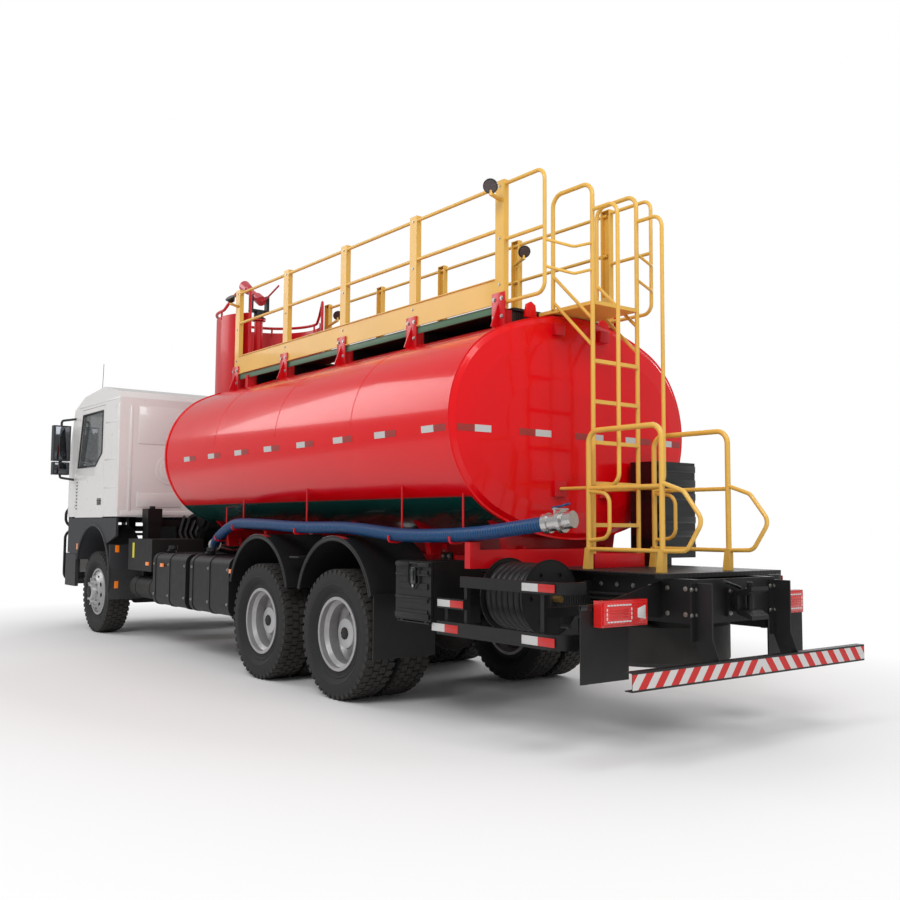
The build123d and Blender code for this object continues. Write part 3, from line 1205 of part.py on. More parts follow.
with BuildPart() as case_door:
    # Domed door with raised ribs, hinged along its outer edge
    x1 = CASE_X0 + 56
    box(x1 - 45, x1, CASE_Y0, CASE_Y1, CASE_Z0, CASE_Z1)
    box(x1 - 33, x1 + 1, CASE_Y0 + 12, CASE_Y1 - 12, CASE_Z0 + 12, CASE_Z1 - 12, Mode.SUBTRACT)
    for rib in range(4):
        z = CASE_Z0 + 100 + 160 * rib
        box(x1 - 57, x1 - 44, CASE_Y0 + 40, CASE_Y1 - 40, z, z + 90)
    for z in (CASE_Z0 + 120, CASE_Z1 - 120):
        rod((*CASE_HINGE, z - 20.5), (*CASE_HINGE, z + 20.5), 9)
        box(CASE_HINGE[0] - 30, CASE_HINGE[0], CASE_HINGE[1], CASE_Y0, z - 20.5, z + 20.5)
        rod((*CASE_HINGE, z - 21), (*CASE_HINGE, z + 21), CASE_PIN_R + SHAFT_GAP, Mode.SUBTRACT)
keep(case_door, "case_door")


# Hose reel

with BuildPart() as hose_reel:
    # Drum, two pierced discs, the wound hose and the crank
    rod((REEL_X - REEL_LENGTH / 2, REEL_Y, REEL_Z), (REEL_X + REEL_LENGTH / 2, REEL_Y, REEL_Z), 110)
    for x in (REEL_X - REEL_LENGTH / 2, REEL_X + REEL_LENGTH / 2 - 6):
        with BuildSketch(Plane(origin=(x, REEL_Y, REEL_Z), x_dir=(0, 1, 0), z_dir=(1, 0, 0))):
            Circle(REEL_R)
            with PolarLocations(175, 6):
                Circle(16, mode=Mode.SUBTRACT)
        extrude(amount=6)
    wraps = 7
    wrap_r = (REEL_LENGTH - 12) / wraps / 2
    for k in range(wraps):
        x = REEL_X - REEL_LENGTH / 2 + 6 + wrap_r * (2 * k + 1)
        with BuildSketch(Plane(origin=(x, REEL_Y, REEL_Z), x_dir=(1, 0, 0), z_dir=(0, -1, 0))):
            with Locations((0, 205)):
                Circle(wrap_r - 0.4)
            with Locations((0, 155)):
                Rectangle(wrap_r * 1.6, 100)
        revolve(axis=Axis((x, REEL_Y, REEL_Z), (1, 0, 0)))
    end = REEL_LENGTH / 2 + 45
    rod((REEL_X - end - 60, REEL_Y, REEL_Z), (REEL_X + end, REEL_Y, REEL_Z), 22)
    box(REEL_X - end - 60, REEL_X - end - 45, REEL_Y - 14, REEL_Y + 14, REEL_Z - 190, REEL_Z)
    rod((REEL_X - end - 140, REEL_Y, REEL_Z - 175), (REEL_X - end - 45, REEL_Y, REEL_Z - 175), 14)
keep(hose_reel, "hose_reel")


# Suction hose along the left side

hose_points = [
    (AXLE_3 + 3150, 860, 1190), (AXLE_3 + 2750, 1010, 1270), (AXLE_3 + 2200, 1090, 1425),
    (AXLE_3 + 1500, 1150, 1415), (AXLE_3 + 700, 1165, 1385), (AXLE_3 - 150, 1165, 1390),
    (AXLE_3 - 900, 1150, 1325), (AXLE_3 - 1650, 1060, 1350), (AXLE_3 - 2200, 940, 1425),
]


def corner_radii(points):
    """The largest bend at each corner that its two runs leave room for."""
    radii = []
    for before, here, after in zip(points, points[1:], points[2:]):
        first, second = Vector(*here) - Vector(*before), Vector(*after) - Vector(*here)
        turn = radians(first.get_angle(second))
        radii.append(0.45 * min(first.length, second.length) / sin(turn / 2) * cos(turn / 2))
    return radii


with BuildPart() as suction_hose:
    radii = corner_radii(hose_points)
    with BuildLine(mode=Mode.PRIVATE) as route:
        FilletPolyline(*hose_points, radius=radii)
    hose_path = route.wire()
    with BuildSketch(Plane(origin=hose_path @ 0, z_dir=hose_path % 0)):
        Circle(HOSE_R)
    sweep(path=hose_path)
keep(suction_hose, "suction_hose")

COUPLING_R = 57

with BuildPart() as hose_couplings:
    # Clamped tail, valve body and cam lever coupling at the rear; inlet stub at the front
    start, way = hose_path @ 1, hose_path % 1
    for length0, length1, radius in ((0, 40, 68), (40, 120, 58), (120, 150, 78), (150, 225, COUPLING_R)):
        rod(tuple(start + way * length0), tuple(start + way * length1), radius)
    rod(tuple(start + way * 80 + Vector(0, 0, 40)), tuple(start + way * 80 + Vector(0, 0, 95)), 14)
    box((start + way * 80).X - 12, (start + way * 80).X + 12, (start + way * 80).Y - 110,
        (start + way * 80).Y + 14, start.Z + 90, start.Z + 102)
    first, back = hose_path @ 0, hose_path % 0
    rod(tuple(first), tuple(first - back * 60), 68)
    elbow = first - back * 60
    pump_z = RAIL_TOP + 45
    pump_x = elbow.X + 110
    tube([tuple(elbow), tuple(elbow - back * 70), (pump_x, 620, pump_z), (pump_x, RAIL_Y, pump_z)], 44, 70)
keep(hose_couplings, "hose_couplings")

SADDLES = 6

with BuildPart() as tank_saddles:
    # Long runners on the rails, and cross saddles cut to the tank's underside
    for side in (1, -1):
        y0, y1 = sorted((side * (RAIL_Y - 80), side * RAIL_Y))
        box(TANK_REAR + 60, TANK_FRONT - 60, y0, y1, RAIL_TOP, RAIL_TOP + 90)
    for k in range(SADDLES):
        x = TANK_REAR + 160 + k * (TANK_LENGTH - 320 - 70) / (SADDLES - 1)
        web = [(-560, RAIL_TOP + 90), (560, RAIL_TOP + 90), (590, 1340), (760, 1500), (760, 1560),
               (-760, 1560), (-760, 1500), (-590, 1340)]
        plate_yz(web, x, x + 70)
    # Rear cross beam, with a pad under the hose and the blank panel's frame
    box(TANK_REAR - 74, TANK_REAR - 14, -560, 1110, DECK_Z, DECK_Z + 130)
    box(TANK_REAR - 74, TANK_REAR - 14, 1020, 1110, DECK_Z + 130, 1293)
    # Bent straps that hang from the tank's side and pass under the hose
    for share in (0.1, 0.205, 0.462, 0.73, 0.855):
        spot = hose_path @ share
        x, y, z = spot.X, spot.Y, spot.Z
        low = z - HOSE_R - 9
        inner, outer = y - HOSE_R - 12, y + HOSE_R + 12
        tube([(x, inner, z + 420), (x, inner, low), (x, outer, low), (x, outer, z - 10)], 8, 24)
    scribe_to_tank(tank_skin)
keep(tank_saddles, "tank_saddles")
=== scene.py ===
"""Looks of a three-axle tanker fire truck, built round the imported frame.

Every length is in metres, in the frame's own axes: X forwards, Y to the truck's left, Z up.
"""

import itertools
import logging
import math
from dataclasses import dataclass, field
from enum import Enum
from typing import Any, Iterable, Sequence

import bmesh
import bpy
from mathutils import Matrix, Vector
from mathutils.bvhtree import BVHTree

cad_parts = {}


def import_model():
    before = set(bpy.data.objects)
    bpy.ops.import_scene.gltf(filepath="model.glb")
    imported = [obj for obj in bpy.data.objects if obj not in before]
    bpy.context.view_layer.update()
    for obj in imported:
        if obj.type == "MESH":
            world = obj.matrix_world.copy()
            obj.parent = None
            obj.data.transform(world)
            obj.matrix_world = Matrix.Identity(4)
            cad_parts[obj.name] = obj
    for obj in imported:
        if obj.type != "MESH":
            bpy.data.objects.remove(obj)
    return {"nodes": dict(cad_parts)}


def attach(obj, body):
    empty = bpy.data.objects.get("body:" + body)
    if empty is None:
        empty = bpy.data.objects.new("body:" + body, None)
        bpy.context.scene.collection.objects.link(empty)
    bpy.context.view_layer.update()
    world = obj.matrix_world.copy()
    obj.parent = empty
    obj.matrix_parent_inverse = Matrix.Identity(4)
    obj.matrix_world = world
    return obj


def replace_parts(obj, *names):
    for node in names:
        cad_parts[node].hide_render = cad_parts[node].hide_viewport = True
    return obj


LOG = logging.getLogger("tanker")
Colour = tuple[float, float, float]
Point = tuple[float, float, float]
SIDES = (1, -1)

FRONT_AXLE = 3.940
MIDDLE_AXLE = -0.860
REAR_AXLE = -2.210
WHEEL_R = 0.525
TANK_REAR = -3.756
TANK_FRONT = 1.444
TANK_Z = 2.170
DECK_Z = 1.110
WALK_Z = 3.080
REEL_X = -4.095
REEL_Y = 0.800
REEL_Z = 0.925
BASKET_X = 1.449
BASKET_R = 0.620
ARCH_Z = 0.720
RAIL_FACE = 0.431
POST_XS = tuple(-3.540 + 1.147 * k for k in range(5))


class Axis(Enum):
    """A direction of the frame."""

    X = 0
    Y = 1
    Z = 2

    def vector(self, way: float = 1.0) -> Vector:
        """The axis as a vector of length way."""
        made = Vector((0.0, 0.0, 0.0))
        made[self.value] = way
        return made


# Shader graphs


class Number:
    """A number in a shader graph that takes part in Python expressions."""

    def __init__(self, graph: "Graph", socket: bpy.types.NodeSocket) -> None:
        """Keeps the socket and the graph it belongs to."""
        self.graph = graph
        self.socket = socket

    def maths(self, operation: str, *others: Any, first: Any = None) -> "Number":
        """Adds one Math node.

        Args:
            operation: The Math node's operation.
            others: The operands after this number.
            first: An operand that comes before this number, in place of others.

        Returns:
            The node's result.
        """
        operands = (self, *others) if first is None else (first, self)
        made = self.graph.node("ShaderNodeMath", {"operation": operation}, dict(enumerate(operands)))
        return Number(self.graph, made.outputs[0])

    def __add__(self, other: Any) -> "Number":
        """This plus other."""
        return self.maths("ADD", other)

    def __mul__(self, other: Any) -> "Number":
        """This times other."""
        return self.maths("MULTIPLY", other)

    def __sub__(self, other: Any) -> "Number":
        """This less other."""
        return self.maths("SUBTRACT", other)

    def __rsub__(self, other: Any) -> "Number":
        """Other less this."""
        return self.maths("SUBTRACT", first=other)

    def __truediv__(self, other: Any) -> "Number":
        """This over other."""
        return self.maths("DIVIDE", other)

    def __gt__(self, other: Any) -> "Number":
        """One where this is greater than other."""
        return self.maths("GREATER_THAN", other)

    def __lt__(self, other: Any) -> "Number":
        """One where this is less than other."""
        return self.maths("LESS_THAN", other)

    __radd__ = __add__
    __rmul__ = __mul__

    def clamped(self) -> "Number":
        """This kept from 0 to 1."""
        return self.maths("MAXIMUM", 0.0).maths("MINIMUM", 1.0)

    def size(self) -> "Number":
        """This without its sign."""
        return self.maths("ABSOLUTE")

    def power(self, exponent: float) -> "Number":
        """This raised to exponent."""
        return self.maths("POWER", exponent)

    def wave(self) -> "Number":
        """The sine of this, moved to run from 0 to 1."""
        return self.maths("SINE") * 0.5 + 0.5

    def share(self, step: float) -> "Number":
        """How far this is through its step of the given length, from 0 to 1."""
        return (self / step).maths("FRACT")

    def root(self) -> "Number":
        """The square root of this."""
        return self.maths("SQRT")


class Graph:
    """One material's nodes, ending in a Principled shader."""

    def __init__(self, name: str) -> None:
        """Starts a material that holds only its shader and output."""
        self.material = bpy.data.materials.new(name)
        self.material.use_nodes = True
        self.tree = self.material.node_tree
        self.tree.nodes.clear()
        self.shader = self.tree.nodes.new("ShaderNodeBsdfPrincipled")
        output = self.tree.nodes.new("ShaderNodeOutputMaterial")
        self.tree.links.new(self.shader.outputs[0], output.inputs["Surface"])
        self.place = self.node("ShaderNodeTexCoord").outputs["Object"]
        self.axes = self.node("ShaderNodeSeparateXYZ", sockets={0: self.place}).outputs

    def node(
        self, kind: str, settings: dict[str, Any] | None = None, sockets: dict[Any, Any] | None = None
    ) -> bpy.types.Node:
        """Adds a node.

        Args:
            kind: The node's type.
            settings: Its properties, set first.
            sockets: Values or links for its inputs, by name or number.

        Returns:
            The new node.
        """
        made = self.tree.nodes.new(kind)
        for key, value in (settings or {}).items():
            setattr(made, key, value)
        for key, value in (sockets or {}).items():
            self.feed(made.inputs[key], value)
        return made

    def feed(self, target: bpy.types.NodeSocket, value: Any) -> None:
        """Links or sets one input."""
        if isinstance(value, Number):
            value = value.socket
        if isinstance(value, bpy.types.NodeSocket):
            self.tree.links.new(value, target)
        elif isinstance(value, tuple) and target.type == "RGBA":
            target.default_value = (*value, 1.0)
        else:
            target.default_value = value

    def axis(self, axis: Axis) -> Number:
        """The place along one axis, in metres."""
        return Number(self, self.axes[axis.value])

    def noise(self, scale: float, detail: float = 3.0, stretch: Point = (1.0, 1.0, 1.0)) -> Number:
        """Noise from 0 to 1 with about scale lumps a metre, stretched along the axes."""
        place = self.node("ShaderNodeMapping", sockets={"Vector": self.place, "Scale": stretch}).outputs[0]
        made = self.node("ShaderNodeTexNoise", sockets={"Vector": place, "Scale": scale, "Detail": detail})
        return Number(self, made.outputs[0])

    def cells(self, scale: float) -> Number:
        """Distance to the nearest of scattered points, about scale of them a metre."""
        made = self.node("ShaderNodeTexVoronoi", sockets={"Vector": self.place, "Scale": scale})
        return Number(self, made.outputs["Distance"])

    def mix(self, factor: Any, low: Any, high: Any) -> bpy.types.NodeSocket:
        """The colour low where factor is 0 and high where it is 1."""
        made = self.node("ShaderNodeMix", {"data_type": "RGBA"}, {0: factor, 6: low, 7: high})
        return made.outputs[2]

    def finish(self, colour: Any, roughness: Any, height: Number | None = None, depth: float = 0.0005) -> None:
        """Feeds the shader's colour, roughness and bump."""
        self.feed(self.shader.inputs["Base Color"], colour)
        self.feed(self.shader.inputs["Roughness"], roughness)
        if height is not None:
            bump = self.node("ShaderNodeBump", sockets={"Height": height, "Strength": 1.0, "Distance": depth})
            self.feed(self.shader.inputs["Normal"], bump.outputs[0])


# Finishes

DUST: Colour = (0.23, 0.19, 0.15)


@dataclass(frozen=True)
class Finish:
    """A painted or moulded surface with slight mottling, road dust low down and a fine grain."""

    name: str
    colour: Colour
    roughness: float = 0.4
    metallic: float = 0.0
    coat: float = 0.0
    grain: float = 260.0
    depth: float = 0.0003
    mottle: float = 0.12
    dust: float = 0.25
    shine: float = 0.35

    def material(self) -> bpy.types.Material:
        """The finish's material, made once."""
        found = bpy.data.materials.get(self.name)
        if found is None:
            graph = Graph(self.name)
            graph.shader.inputs["Metallic"].default_value = self.metallic
            graph.shader.inputs["Coat Weight"].default_value = self.coat
            graph.shader.inputs["Coat Roughness"].default_value = 0.06
            graph.shader.inputs["Specular IOR Level"].default_value = self.shine
            self.shade(graph)
            found = graph.material
        return found

    def body_colour(self, graph: Graph) -> Any:
        """The clean colour, mottled a little."""
        darker = tuple(c * (1.0 - self.mottle * 2) for c in self.colour)
        return graph.mix(graph.noise(2.3, 4.0), darker, tuple(min(1.0, c * (1.0 + self.mottle)) for c in self.colour))

    def soiled(self, graph: Graph, colour: Any) -> Any:
        """The colour with dust that thickens towards the road."""
        low = (1.25 - graph.axis(Axis.Z)).clamped()
        amount = low * low * graph.noise(9.0, 6.0) * self.dust
        return graph.mix(amount, colour, DUST)

    def relief(self, graph: Graph) -> Number:
        """The surface's height."""
        return graph.noise(self.grain, 2.0)

    def shade(self, graph: Graph) -> None:
        """Builds the finish's nodes."""
        wear = graph.noise(14.0, 5.0)
        colour = self.soiled(graph, self.body_colour(graph))
        graph.finish(colour, (wear * 0.16 + (self.roughness - 0.08)).clamped(), self.relief(graph), self.depth)


@dataclass(frozen=True)
class TankPaint(Finish):
    """Gloss red with faint weld seams round the shell, and painted shade with a painted green reflection on its
    belly.
    """

    # Dark green for the painted shade and painted green reflection on the tank's underside.
    belly_shade_colour: Colour = (0.002, 0.05, 0.042)
    belly_shade_top: float = 1.63
    seam_pitch: float = 1.3

    def body_colour(self, graph: Graph) -> Any:
        """Red above and painted shade with a painted green reflection below, the rear head red all over."""
        red = super().body_colour(graph)
        # Painted shade and painted green reflection: the shell turns dark green below this height.
        below = ((self.belly_shade_top - graph.axis(Axis.Z)) * 60.0).clamped()
        shell = graph.axis(Axis.X) > TANK_REAR + 0.032
        return graph.mix(below * shell, red, self.belly_shade_colour)

    def relief(self, graph: Graph) -> Number:
        """Weld seams and a slight waviness of rolled sheet."""
        along = (graph.axis(Axis.X) - TANK_REAR).share(self.seam_pitch)
        seam = ((along - 0.5).size() - 0.494) * 160.0
        return seam.clamped() * 0.6 + graph.noise(1.6, 1.0) * 4.0 + graph.noise(self.grain, 2.0) * 0.1


@dataclass(frozen=True)
class StripePaint(Finish):
    """Red and white diagonal stripes on a black bar's rear face, mirrored about its middle."""

    other: Colour = (0.62, 0.61, 0.60)
    bare: Colour = (0.013, 0.013, 0.014)
    pitch: float = 0.140
    face_x: float = -5.3985
    low: float = 0.494
    high: float = 0.581

    def body_colour(self, graph: Graph) -> Any:
        """Slanted bands of the two colours, with the lips and arms left black."""
        slant = graph.axis(Axis.Y).size() + graph.axis(Axis.Z) * 0.8
        bands = graph.mix((slant + 10.0).share(self.pitch) > 0.5, self.colour, self.other)
        height = graph.axis(Axis.Z)
        taped = (graph.axis(Axis.X) < self.face_x) * (height > self.low) * (height < self.high)
        return graph.mix(taped, self.bare, bands)


@dataclass(frozen=True)
class TapeFinish(Finish):
    """Reflective tape with a fine honeycomb."""

    def body_colour(self, graph: Graph) -> Any:
        """Darker along the honeycomb's lines."""
        return graph.mix(graph.cells(260.0) * 0.5, self.colour, tuple(c * 0.6 for c in self.colour))


@dataclass(frozen=True)
class TreadPlate(Finish):
    """Chequered plate: short raised bars that lie two ways in turn."""

    pitch: float = 0.045

    def relief(self, graph: Graph) -> Number:
        """Bars along the two diagonals, in turn."""
        turn = 2.0 * math.pi / self.pitch
        across = (graph.axis(Axis.X) + graph.axis(Axis.Y)) * turn
        along = (graph.axis(Axis.X) - graph.axis(Axis.Y)) * turn
        one = across.wave().power(6.0) * along.wave().power(1.2)
        other = (across + math.pi).wave().power(1.2) * (along + math.pi).wave().power(6.0)
        return one + other


@dataclass(frozen=True)
class WalkPlate(TreadPlate):
    """Tread plate whose bearers outside the walkway are painted red."""

    bearer: Colour = (0.55, 0.006, 0.010)
    edge_y: float = 0.503

    def body_colour(self, graph: Graph) -> Any:
        """Black plate, red beyond its edge and below it."""
        outside = graph.axis(Axis.Y).size() > self.edge_y
        return graph.mix(outside, self.colour, self.bearer)


@dataclass(frozen=True)
class ReelPaint(Finish):
    """Black reel paint with a brass swivel on the shaft's rear end."""

    brass: Colour = (0.55, 0.36, 0.12)

    def shade(self, graph: Graph) -> None:
        """Brass near the axis behind the rear disc."""
        y, z = graph.axis(Axis.Y) - REEL_Y, graph.axis(Axis.Z) - REEL_Z
        swivel = ((y * y + z * z).root() < 0.0235) * (graph.axis(Axis.X) < REEL_X - 0.217)
        colour = graph.mix(swivel, self.soiled(graph, self.body_colour(graph)), self.brass)
        graph.feed(graph.shader.inputs["Metallic"], swivel)
        graph.finish(colour, graph.noise(14.0, 5.0) * 0.16 + (self.roughness - 0.08), self.relief(graph), self.depth)


@dataclass(frozen=True)
class RibbedHose(Finish):
    """A hose wound with a raised rib at each step along X."""

    pitch: float = 0.022

    def relief(self, graph: Graph) -> Number:
        """Rounded ribs across the hose."""
        return (graph.axis(Axis.X) * (2.0 * math.pi / self.pitch)).wave()

    def body_colour(self, graph: Graph) -> Any:
        """Painted shade: darker in the grooves between the ribs."""
        return graph.mix(self.relief(graph), tuple(c * 0.45 for c in self.colour), self.colour)


@dataclass(frozen=True)
class TyreRubber(Finish):
    """Rubber that is browner and rougher where it meets the road."""

    axle_x: float = 0.0

    def shade(self, graph: Graph) -> None:
        """Dust by the distance from the axle."""
        x, z = graph.axis(Axis.X) - self.axle_x, graph.axis(Axis.Z) - WHEEL_R
        out = (x * x + z * z).root()
        dusty = ((out - 0.47) * 16.0).clamped() * graph.noise(30.0, 5.0)
        colour = graph.mix(dusty * 0.5, self.body_colour(graph), (0.10, 0.085, 0.07))
        graph.finish(colour, dusty * 0.2 + self.roughness, self.relief(graph), self.depth)


@dataclass(frozen=True)
class RimPaint(Finish):
    """Wheel paint with hand holes painted round the disc in near-black as painted shade, and brown dust in the
    corners.
    """

    axle_x: float = 0.0
    hole_ring: float = 0.218
    holes: int = 10

    def shade(self, graph: Graph) -> None:
        """Painted holes in the disc, by angle and distance from the axle, in near-black painted shade."""
        x, z = graph.axis(Axis.X) - self.axle_x, graph.axis(Axis.Z) - WHEEL_R
        out = (x * x + z * z).root()
        angle = x.maths("ARCTAN2", z)
        swing = (angle * self.holes).wave()
        radial = 1.0 - (out - self.hole_ring).size() * 55.0
        # Near-black painted shade stands for the dark seen through each hand hole.
        hole_shade = (swing + radial - 1.38) * 9.0
        rust = graph.noise(22.0, 6.0) * ((0.16 - (out - 0.26).size()) * 5.0).clamped()
        worn = graph.mix(rust * 0.5, self.body_colour(graph), (0.12, 0.085, 0.06))
        graph.finish(graph.mix(hole_shade.clamped(), worn, (0.008, 0.008, 0.008)), rust * 0.3 + self.roughness,
                     self.relief(graph), self.depth)


@dataclass(frozen=True)
class BrushedSteel(Finish):
    """Bright metal with fine lines along X."""

    def relief(self, graph: Graph) -> Number:
        """Fine drawn-out scratches."""
        return graph.noise(self.grain, 2.0, (0.06, 1.0, 1.0))


@dataclass(frozen=True)
class Glazing(Finish):
    """Tinted glass that lets part of the light through."""

    opacity: float = 0.5

    def shade(self, graph: Graph) -> None:
        """Smooth, part clear and slightly smeared."""
        graph.shader.inputs["Alpha"].default_value = self.opacity
        graph.finish(self.body_colour(graph), graph.noise(6.0, 4.0) * 0.06 + self.roughness)


@dataclass(frozen=True)
class Lens(Finish):
    """A moulded lens with small prisms behind its face."""

    glow: float = 0.15

    def relief(self, graph: Graph) -> Number:
        """Prisms in rows."""
        turn = 2.0 * math.pi / 0.012
        return (graph.axis(Axis.Y) * turn).wave() + (graph.axis(Axis.Z) * turn).wave()

    def shade(self, graph: Graph) -> None:
        """The lens lights itself a little, as a bright backing does."""
        super().shade(graph)
        graph.shader.inputs["Emission Color"].default_value = (*self.colour, 1.0)
        graph.shader.inputs["Emission Strength"].default_value = self.glow


@dataclass(frozen=True)
class Cloth(Finish):
    """Woven seat cloth."""

    def relief(self, graph: Graph) -> Number:
        """Threads over and under."""
        turn = 2.0 * math.pi / 0.004
        return (graph.axis(Axis.Y) * turn).wave() * (graph.axis(Axis.Z) * turn).wave()


RED = TankPaint("tank_red_paint", (0.74, 0.0, 0.004), 0.22, coat=0.35, grain=90.0, depth=0.0010, mottle=0.04,
                shine=0.22)
FRAME_RED = Finish("frame_red_paint", (0.60, 0.002, 0.008), 0.32, coat=0.2, mottle=0.08)
YELLOW = Finish("railing_yellow_paint", (0.80, 0.47, 0.085), 0.42, coat=0.3, grain=120.0, mottle=0.06)
WHITE = Finish("cab_white_paint", (0.80, 0.785, 0.77), 0.3, coat=0.8, grain=80.0, depth=0.0001, mottle=0.015,
               dust=0.15)
BLACK = Finish("chassis_black_paint", (0.008, 0.008, 0.0085), 0.45, mottle=0.25, dust=0.05)
GREASY = Finish("castings_black", (0.013, 0.0125, 0.0125), 0.6, grain=160.0, depth=0.0008, mottle=0.3, dust=0.15)
GREY_PLASTIC = Finish("cab_grey_plastic", (0.036, 0.038, 0.042), 0.55, grain=420.0, depth=0.0004, mottle=0.08,
                      dust=0.2)
SOFT_BLACK = Finish("mudguard_black_plastic", (0.010, 0.010, 0.011), 0.5, grain=420.0, depth=0.0004, mottle=0.2,
                    dust=0.06)
CASE_BLACK = Finish("case_gloss_plastic", (0.006, 0.007, 0.0075), 0.2, coat=0.5, dust=0.03)
STAINLESS = BrushedSteel("stainless_steel", (0.62, 0.61, 0.60), 0.26, metallic=1.0, dust=0.05)
ZINC = BrushedSteel("zinc_bolts", (0.50, 0.49, 0.46), 0.36, metallic=1.0, dust=0.1)
BLUE_HOSE = RibbedHose("blue_ribbed_hose", (0.004, 0.072, 0.215), 0.36, depth=0.004, dust=0.04)
REEL_HOSE = Finish("reel_hose_rubber", (0.013, 0.013, 0.014), 0.5, grain=500.0)
STRIPES = StripePaint("warning_stripes", (0.56, 0.018, 0.016), 0.4, dust=0.0, mottle=0.04)
DECK = TreadPlate("black_tread_plate", (0.016, 0.016, 0.017), 0.42, depth=0.003, dust=0.3)
WALK = WalkPlate("walkway_tread_plate", (0.016, 0.016, 0.017), 0.42, depth=0.003, dust=0.0)
REEL_PAINT = ReelPaint("reel_paint", (0.013, 0.013, 0.014), 0.42, dust=0.04)
# Painted green reflection, laid as a strip in the shaded gap under the toe boards.
GREEN_REFLECTION_STRIP = Finish("painted_green_reflection", (0.10, 0.21, 0.13), 0.4, dust=0.0)
GLASS = Glazing("cab_glass", (0.10, 0.115, 0.12), 0.04, coat=1.0, dust=0.0)
MIRROR = BrushedSteel("mirror_silver", (0.10, 0.105, 0.115), 0.06, metallic=1.0, depth=0.0, dust=0.0)
LAMP_RED = Lens("tail_lens_red", (0.62, 0.012, 0.012), 0.2, coat=1.0, depth=0.001, glow=0.12)
LAMP_CLEAR = Lens("lamp_lens_clear", (0.62, 0.60, 0.59), 0.16, coat=1.0, depth=0.001, glow=0.06)
LAMP_DARK = Lens("work_lamp_lens", (0.075, 0.055, 0.055), 0.2, coat=0.6, depth=0.001, glow=0.0)
AMBER = Lens("marker_amber", (0.85, 0.20, 0.01), 0.25, coat=1.0, depth=0.0006, glow=0.25)
CANNON_RED = Finish("cannon_red_paint", (0.60, 0.05, 0.07), 0.36, coat=0.6)
CLOTH = Cloth("seat_cloth", (0.035, 0.036, 0.042), 0.85, depth=0.001, dust=0.0)
YELLOW_TAG = Finish("yellow_tag", (0.72, 0.66, 0.05), 0.5)
TAPE_RED = TapeFinish("tape_red", (0.36, 0.028, 0.024), 0.35, coat=0.4, mottle=0.05, dust=0.0)
TAPE_WHITE = TapeFinish("tape_white", (0.60, 0.60, 0.59), 0.35, coat=0.4, mottle=0.05, dust=0.0)
GUARD_RED = TapeFinish("guard_tape_red", (0.58, 0.018, 0.016), 0.35, coat=0.4, mottle=0.05, dust=0.0)

NODE_FINISHES: dict[Finish, tuple[str, ...]] = {
    RED: ("tank", "manhole_lid"),
    FRAME_RED: ("tank_saddles", "cannon_basket"),
    YELLOW: ("railings", "ladder", "deck_rails"),
    WHITE: ("cab_shell", "left_door", "right_door"),
    BLACK: ("chassis_frame", "side_guards", "guard_bars", "toolbox", "toolbox_door", "intake_gear",
            "tow_coupling", "cannon_base"),
    GREASY: ("engine", "front_axle", "drive_line", "leaf_springs", "left_knuckle", "right_knuckle", "spare_wheel",
             "silencer", "air_reservoirs"),
    GREY_PLASTIC: ("grille", "mirrors", "front_mudguards", "front_bumper"),
    SOFT_BLACK: ("rear_mudguards", "fuel_tanks"),
    CASE_BLACK: ("extinguisher_case", "case_door"),
    STAINLESS: ("hose_couplings",),
    BLUE_HOSE: ("suction_hose",),
    STRIPES: ("underride_bumper",),
    DECK: ("rear_deck",),
    WALK: ("walkway",),
    REEL_PAINT: ("hose_reel",),
    GLASS: ("windscreen", "left_door_glass", "right_door_glass"),
    LAMP_RED: ("tail_lamps",),
    LAMP_CLEAR: ("head_lamps",),
    CANNON_RED: ("cannon_barrel",),
    CLOTH: ("cab_interior",),
}


# Shaping


